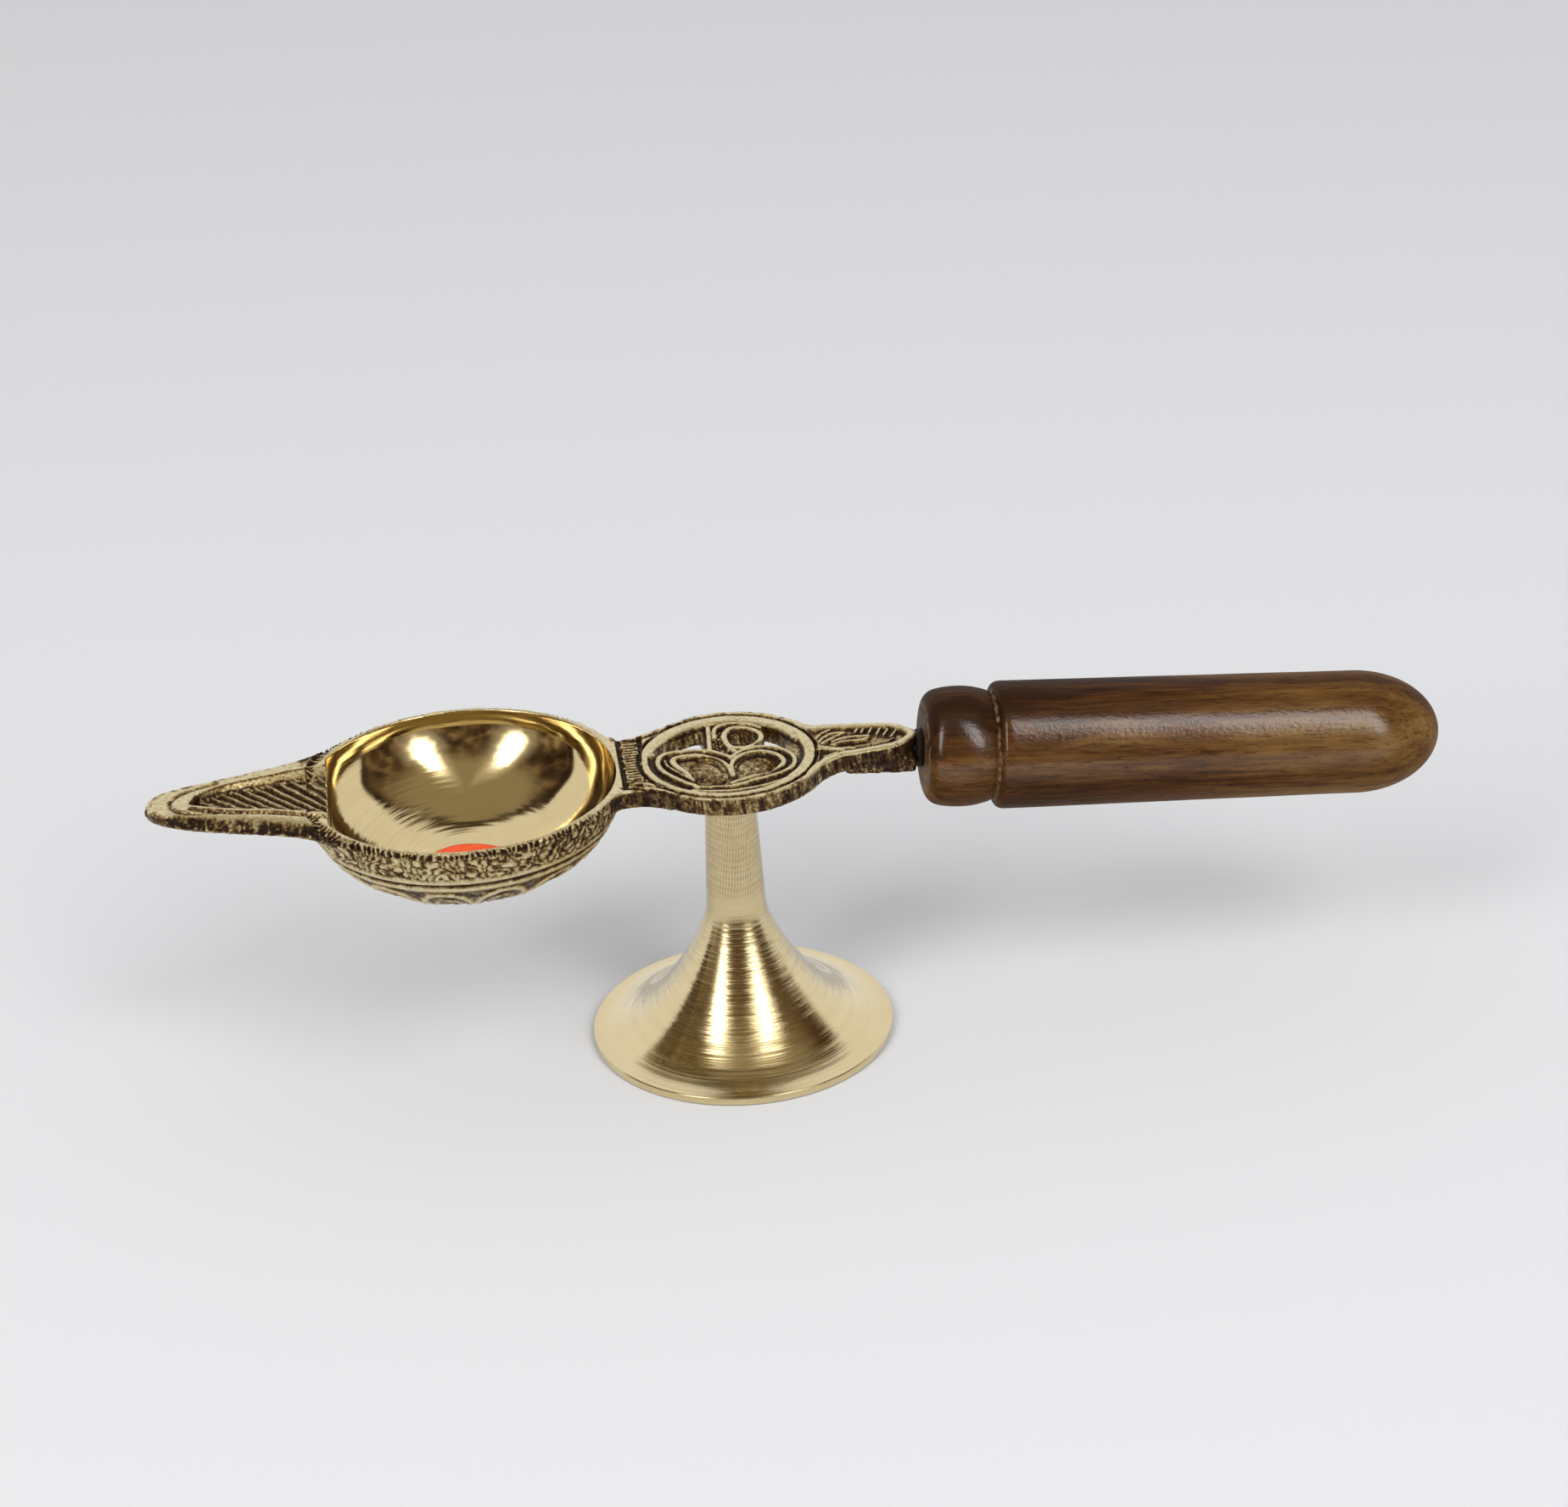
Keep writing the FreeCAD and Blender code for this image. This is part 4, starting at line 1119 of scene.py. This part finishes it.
def stem_relief(z, angle):
    """Chatter left by the lathe on the stem: rows of short upright dashes over faint bands."""
    on_stem = blend(31, 34, z) * blend(STEM_TOP - 0.2, STEM_TOP - 0.8, z)
    row = z / 1.3 + 0.35 * np.sin(angle * 3)
    count = np.floor(row)
    within = row - count
    ends = blend(0.04, 0.2, within) * blend(0.96, 0.8, within)
    phase = angle * 62 / 2 / math.pi + 0.37 * (count * 7 % 5)
    uneven = 0.75 + 0.5 * noise(phase * 0.9, count * 1.7, count * 0)
    dash = np.clip(np.cos(2 * math.pi * phase) * 1.5 - 0.4, 0, 1) * uneven
    bands = 0.006 * np.sin(z * 4.1 + 2 * np.sin(z * 1.3)) * blend(28, 32, z)
    return -0.07 * on_stem * dash * ends + bands


def turned_foot(material):
    """Trumpet foot with its turning marks."""
    profile = foot_profile()
    points, faces = lathe(profile, FOOT_SEGMENTS, stem_relief, upright=True)
    x, y, z = points.T
    r = np.hypot(x, y)
    under = blend(1.0, 0.2, z) * (r < FOOT_R - 0.1) + (z < FOOT_CROWN_Z + 0.1) * (r < foot_outer(z) - 0.8)
    dashes = np.clip(-stem_relief(z, np.arctan2(y, x)) / 0.05, 0, 1)
    values = {
        "along": np.repeat(run_length(profile), FOOT_SEGMENTS),
        "patina": np.clip(0.45 * np.clip(under, 0, 1) + 0.65 * dashes, 0, 1),
        "satin": blend(25.5, 28.0, z) * (0.5 + 0.5 * blend(31.5, 33.5, z)),
    }
    make_piece("turned_foot", (points, faces), "standing_foot", "foot", material, values)


# ---------------------------------------------------------------- the turned handle

HANDLE_PLACE = Matrix.Translation(Vector(HANDLE_AT) * MM) @ Matrix.Rotation(HANDLE_DROP, 4, "Y")
HANDLE_LENGTH = 103.2
HANDLE_R = 12.5
HANDLE_END_R = 12.1
HANDLE_ROUNDING = 17.0
GROOVE_X = 13.6                          # the groove between the bead and the body
HANDLE_BORE_R = 3.15
HANDLE_BORE_END = 47.0


def handle_profile():
    """Half section from the bore, over the front face, the barrel-shaped bead and the groove, to the end."""
    body_end = HANDLE_LENGTH - HANDLE_ROUNDING
    swing = np.radians(np.linspace(0, 90, 50)[:-1])
    return np.vstack([
        straight((HANDLE_BORE_END, CENTRE_R), (HANDLE_BORE_END, HANDLE_BORE_R), 6),
        straight((HANDLE_BORE_END, HANDLE_BORE_R), (0.25, HANDLE_BORE_R), 40),
        corner((0.25, HANDLE_BORE_R), (0, HANDLE_BORE_R), (0, HANDLE_BORE_R + 0.25), 4),
        straight((0, 3.4), (0.1, 7.2), 24),
        bezier((0.1, 7.2), (0.3, 10.0), (1.2, 11.0), (3.2, 11.4), 30),
        bezier((3.2, 11.4), (5.2, 11.85), (8.4, 11.95), (10.6, 11.45), 24),
        bezier((10.6, 11.45), (12.2, 11.1), (12.9, 10.9), (13.45, 10.42), 18),
        bezier((13.45, 10.42), (GROOVE_X, 10.25), (13.65, 10.3), (13.75, 10.45), 5),
        bezier((13.75, 10.45), (14.0, 11.9), (14.3, HANDLE_R), (16.0, HANDLE_R), 14),
        straight((16.0, HANDLE_R), (body_end, HANDLE_END_R), 120),
        np.c_[body_end + HANDLE_ROUNDING * np.sin(swing), HANDLE_END_R * np.cos(swing)],
        [(HANDLE_LENGTH, CENTRE_R)],
    ])


def sanded(at, angle):
    """Soft wave left by sanding the handle."""
    return 0.05 * noise(at * 0.09, np.sin(angle) * 1.4, np.cos(angle) * 1.4)


def wooden_handle(material):
    """Turned handle, rubbed pale in its groove and on its front face."""
    points, faces = lathe(handle_profile(), 300, sanded)
    x, y, z = points.T
    r = np.hypot(y, z)
    groove = blend(0.5, 0.15, np.abs(x - GROOVE_X)) * blend(11.2, 10.8, r) * (r > 9)
    front = blend(0.5, 0.1, x) * (0.28 + 0.5 * blend(7.6, 8.8, r)) * blend(3.4, 3.9, r)
    rub = noise(x * 1.3, y * 1.3, z * 1.3)
    patina = np.clip(groove * (0.4 + 0.7 * rub) + front * (0.6 + 0.8 * rub), 0, 0.9)
    values = {"patina": patina}
    make_piece("wooden_handle", (points, faces), "head", "handle", material, values, HANDLE_PLACE)


# ---------------------------------------------------------------- fittings and label

THREAD_CHAMFER = 0.9
STUD_PITCH, STUD_THREAD = 0.8, 0.42      # pitch and depth of the stud's thread
ROD_R, ROD_PITCH, ROD_THREAD = 1.97, 0.7, 0.36
WASHER_BORE_R = 2.58
WASHER_EDGE = 0.18
WASHER_GAP_HALF = 0.47
WASHER_GAP_LEAN = math.radians(20)
WASHER_ROWS = 121
RESIN_R = 3.08
RESIN_BORE_R = 2.03
RESIN_FRONT, RESIN_BACK = -1.45, 46.9
LABEL_LIFT = 0.5                         # how far the label's edge rises


def threaded(length, radius, pitch, depth):
    """Points and faces of a threaded pin, along +X from the origin, with chamfered ends."""
    at = np.arange(0, length + 1e-6, pitch / 10)
    ends = blend(THREAD_CHAMFER, 0.0, at) + blend(length - THREAD_CHAMFER, length, at)
    profile = np.vstack([[(0, CENTRE_R)], np.c_[at, radius - depth * 1.2 * ends], [(length, CENTRE_R)]])

    def groove(x, angle):
        phase = (x / pitch - angle / 2 / math.pi) % 1.0
        wave = np.abs(phase - 0.5) * 2
        return -depth * np.clip(1.15 * wave - 0.08, 0, 1) * ((x > 0) & (x < length))

    points, faces = lathe(profile, 48, groove)
    radial = np.hypot(points[:, 1], points[:, 2])
    points[:, 1:] *= np.maximum(0.04 / np.maximum(radial, 1e-6), 1.0)[:, None]
    return points, faces


def screw_stud(material):
    """Threaded stud between the foot and the head."""
    points, faces = threaded(STUD_HIGH[2] - STUD_LOW[2], STUD_HIGH[0] - 0.03, STUD_PITCH, STUD_THREAD)
    x, y, z = points.T
    upright = np.c_[-z, y, x + STUD_LOW[2]]
    make_piece("screw_stud", (upright, faces), "head", "foot_stud", material)


def screw_rod(material):
    """Threaded rod from the casting into the handle."""
    length = (ROD_HIGH[0] - ROD_LOW[0]) / math.cos(HANDLE_DROP) - 0.3
    points, faces = threaded(length, ROD_R, ROD_PITCH, ROD_THREAD)
    points[:, 0] += ROD_START
    make_piece("screw_rod", (points, faces), "head", "handle_rod", material, None, HANDLE_PLACE)


def spring_washer(material):
    """Split spring washer with rounded edges and a slanting gap."""
    low, high = WASHER_LOW[2], WASHER_HIGH[2]
    inner, outer, edge = WASHER_BORE_R, WASHER_HIGH[1] - 0.02, WASHER_EDGE
    section = np.array([(inner + edge, low), (outer - edge, low), (outer, low + edge), (outer, high - edge),
                        (outer - edge, high), (inner + edge, high), (inner, high - edge),
                        (inner, low + edge)])
    r, z = section.T
    lean = np.arcsin(np.clip(-(z - (low + high) / 2) * math.tan(WASHER_GAP_LEAN) / r, -0.9, 0.9))
    half = np.arcsin(WASHER_GAP_HALF / r)
    share = np.linspace(0, 1, WASHER_ROWS)[:, None]
    angle = half + lean + (2 * math.pi - 2 * half) * share
    points = np.stack([r * np.cos(angle), r * np.sin(angle), z + 0 * angle], -1).reshape(-1, 3)
    faces = [face[:, ::-1] for face in tube_faces(WASHER_ROWS, len(section))]
    make_piece("spring_washer", (points, faces), "washer", "foot_lock_washer", material)


def squeezed(at, angle):
    """Unevenness of the resin that was squeezed out in front of the handle."""
    in_front = (at < -0.05) & (at > RESIN_FRONT)
    return 0.22 * noise(at * 0.8, np.sin(angle) * 2.1, np.cos(angle) * 2.1) * in_front


def bedding_resin_gap_shade(material):
    """Resin round the rod, with an uneven bead in front of the handle, where its dark colour is painted shade
    for the gap.
    """
    profile = np.vstack([
        straight((RESIN_BACK, RESIN_BORE_R), (RESIN_BACK, RESIN_R), 4),
        straight((RESIN_BACK, RESIN_R), (0.1, RESIN_R), 40),
        straight((0.1, RESIN_R), (-0.02, 3.4), 3),
        bezier((0.0, 3.7), (-0.5, 4.1), (-1.3, 3.9), (RESIN_FRONT, 3.2), 14),
        straight((RESIN_FRONT, 3.2), (-1.5, RESIN_BORE_R), 8),
        straight((-1.5, RESIN_BORE_R), (RESIN_BACK, RESIN_BORE_R), 60),
    ])
    mesh_data = lathe(profile, 96, squeezed, closed=True)
    make_piece("bedding_resin_gap_shade", mesh_data, "head", "handle_resin", material, None, HANDLE_PLACE)


def paper_label(material):
    """Round blank label lying in the bottom of the bowl, its edge lifting a little."""
    radius = (LABEL_HIGH[0] - LABEL_LOW[0]) / 2 - 0.1
    centre_y = (LABEL_LOW[1] + LABEL_HIGH[1]) / 2
    rings = np.r_[CENTRE_R, np.linspace(0.5, radius, 30)]
    profile = np.vstack([np.c_[rings * 0, rings], np.c_[rings * 0 + 1, rings][::-1]])
    points, faces = lathe(profile, 160, upright=True)
    x, y, side = points.T
    r, angle = np.hypot(x, y), np.arctan2(y, x)
    lying = TOP - CAVITY_DEPTH * np.sqrt(1 - ((y + centre_y) ** 2 + x ** 2) / CAVITY_R ** 2)
    lift = LABEL_LIFT * blend(radius - 2.6, radius, r) * np.clip(np.cos(angle - 2.2) * 2 - 0.9, 0, 1)
    ripple = 0.03 * (1 + noise(x * 0.4, y * 0.4, r * 0))
    points = np.c_[x + BOWL_X, y + centre_y, lying + 0.05 + 0.11 * side + lift + ripple]
    make_piece("paper_label", (points, faces), "head", "price_label", material)


# ---------------------------------------------------------------- stage, light and camera

FLOOR_HALF = 4.0
# Name, place and width of each soft light
LAMPS = (("lamp_left", (-1230, -1188, 1384), 820), ("lamp_right", (855, -1423, 1443), 860))
LAMP_AIM = (0, 0, 40)
LAMP_HEIGHT = 1550
LAMP_WATTS = 21
# Soft bright patches that polished metal sees where the lamps are: turn from the camera's side
# towards +X and rise from the horizon, then half width and half height, all in degrees.
LAMP_GLOWS = ((-46, 39, 11, 26), (31, 42, 11, 27))
CAMERA_AIM = (11.016, 0, 60.191)
CAMERA_RISE, CAMERA_TURN, CAMERA_ROLL = math.radians(27.155), math.radians(-5.705), math.radians(-2.984)
CAMERA_DISTANCE = 740.845
CAMERA_LENS, CAMERA_SENSOR = 87.66, 36.0


def stage_floor():
    """Plain pale floor. Reflections don't see the part of it in front of the lamp, nearer the camera."""
    half = FLOOR_HALF
    mesh = bpy.data.meshes.new("stage_floor")
    corners = [(-half, -half, 0), (half, -half, 0), (half, half, 0), (-half, half, 0)]
    mesh.from_pydata(corners, [], [(0, 1, 2, 3)])
    floor = bpy.data.objects.new("stage_floor", mesh)
    bpy.context.scene.collection.objects.link(floor)
    s = Shader("stage_floor_paint")
    mesh.materials.append(s.surface(Base_Color=(0.78, 0.78, 0.785, 1), Roughness=0.9))
    unseen = s.node("LightPath", {}, "Is Glossy Ray") * s.spread(s.axes(s.object)[1], -0.30, -0.34)
    paint = Value(s, s.bsdf.outputs[0])
    mixed = s.node("MixShader", {0: unseen, 1: paint, 2: s.node("BsdfTransparent", {})})
    s.feed(mixed, s.tree.nodes["Material Output"].inputs["Surface"])
    floor.location.z = -0.0002


def soft_light(name, place, width):
    """Rectangular soft light at a place in mm, turned to face the lamp. Reflections don't see it."""
    data = bpy.data.lights.new(name, "AREA")
    data.shape = "RECTANGLE"
    data.size = width * MM
    data.size_y = LAMP_HEIGHT * MM
    data.energy = LAMP_WATTS
    light = bpy.data.objects.new(name, data)
    bpy.context.scene.collection.objects.link(light)
    light.location = Vector(place) * MM
    light.rotation_euler = (Vector(LAMP_AIM) - Vector(place)).to_track_quat("-Z", "Y").to_euler()
    light.visible_glossy = False


def stage_world():
    """Soft surroundings: a pale wall behind the lamp and a dimmer room in front, under a warm ceiling.

    The camera itself sees an even pale grey wherever the floor ends."""
    world = bpy.data.worlds.new("stage_world")
    bpy.context.scene.world = world
    world.use_nodes = True
    sky = Nodes(world.node_tree)
    facing = sky.node("TexCoord", {}, "Generated")
    x, y, z = sky.axes(facing)
    rise = sky.math("ARCSINE", z)
    above_wall = z - (y * 1.6 + sky.math("MAXIMUM", x, 0.0) * 0.45)
    clutter = sky.noise(sky.vector("MULTIPLY", facing, (5, 5, 2.5)), 1.0, 4, 0.6)
    room = sky.ramp(clutter, ((0.36, (0.035, 0.022, 0.014)), (0.50, (0.11, 0.07, 0.045)),
                              (0.62, (0.28, 0.20, 0.12)), (0.75, (0.50, 0.42, 0.30))))
    around = sky.mix(sky.spread(rise, 0.75, 1.1), room, (0.36, 0.31, 0.21, 1))
    shadow_line = sky.band(above_wall, 0.02, 0.17, 0.03)
    around = sky.mix(shadow_line * 0.95, around, (0.028, 0.016, 0.008, 1))
    around = sky.mix(sky.spread(above_wall, 0.0, -0.03), around, (0.95, 0.95, 0.96, 1))
    turn = sky.math("ARCTAN2", x, y * -1.0)
    ragged = (sky.noise(facing, 9.0, 3) - 0.5) * 0.7
    for glow in LAMP_GLOWS:
        turn_at, rise_at, width, height = (math.radians(angle) for angle in glow)
        far = sky.length(sky.joined((turn - turn_at) / width, (rise - rise_at) / height, 0.0)) + ragged
        around = sky.mix(sky.spread(far, 2.3, 1.0, 0.0, 0.45), around, (1.0, 0.95, 0.82, 1))
        around = sky.mix(sky.spread(far, 1.3, 0.5), around, (5.6, 5.6, 5.7, 1))
    lit = sky.mix(sky.node("LightPath", {}, "Is Diffuse Ray"), around, (0.52, 0.525, 0.54, 1))
    seen = sky.mix(sky.node("LightPath", {}, "Is Camera Ray"), lit, (0.80, 0.80, 0.81, 1))
    sky.feed(seen, sky.tree.nodes["Background"].inputs["Color"])
    world.cycles.sampling_method = "NONE"


def photo_camera():
    """Camera at the photograph's viewing angle."""
    level = math.cos(CAMERA_RISE)
    back = Vector((math.sin(CAMERA_TURN) * level, -math.cos(CAMERA_TURN) * level, math.sin(CAMERA_RISE)))
    right = (-back).cross(Vector((0, 0, 1))).normalized()
    up = right.cross(-back)
    side = right * math.cos(CAMERA_ROLL) + up * math.sin(CAMERA_ROLL)
    over = up * math.cos(CAMERA_ROLL) - right * math.sin(CAMERA_ROLL)
    data = bpy.data.cameras.new("photo_camera")
    data.sensor_fit = "HORIZONTAL"
    data.sensor_width = CAMERA_SENSOR
    data.lens = CAMERA_LENS
    camera = bpy.data.objects.new("photo_camera", data)
    bpy.context.scene.collection.objects.link(camera)
    turned = Matrix((side, over, back)).transposed().to_4x4()
    camera.matrix_world = Matrix.Translation((Vector(CAMERA_AIM) + back * CAMERA_DISTANCE) * MM) @ turned
    bpy.context.scene.camera = camera
    bpy.context.scene.view_settings.view_transform = "Standard"


# ---------------------------------------------------------------- build

STEEL = steel()
cast_head(cast_brass())
turned_foot(turned_brass())
wooden_handle(walnut())
screw_stud(STEEL)
screw_rod(STEEL)
spring_washer(STEEL)
bedding_resin_gap_shade(resin_with_gap_shade())
paper_label(label_paper())
stage_floor()
for lamp in LAMPS:
    soft_light(*lamp)
stage_world()
photo_camera()
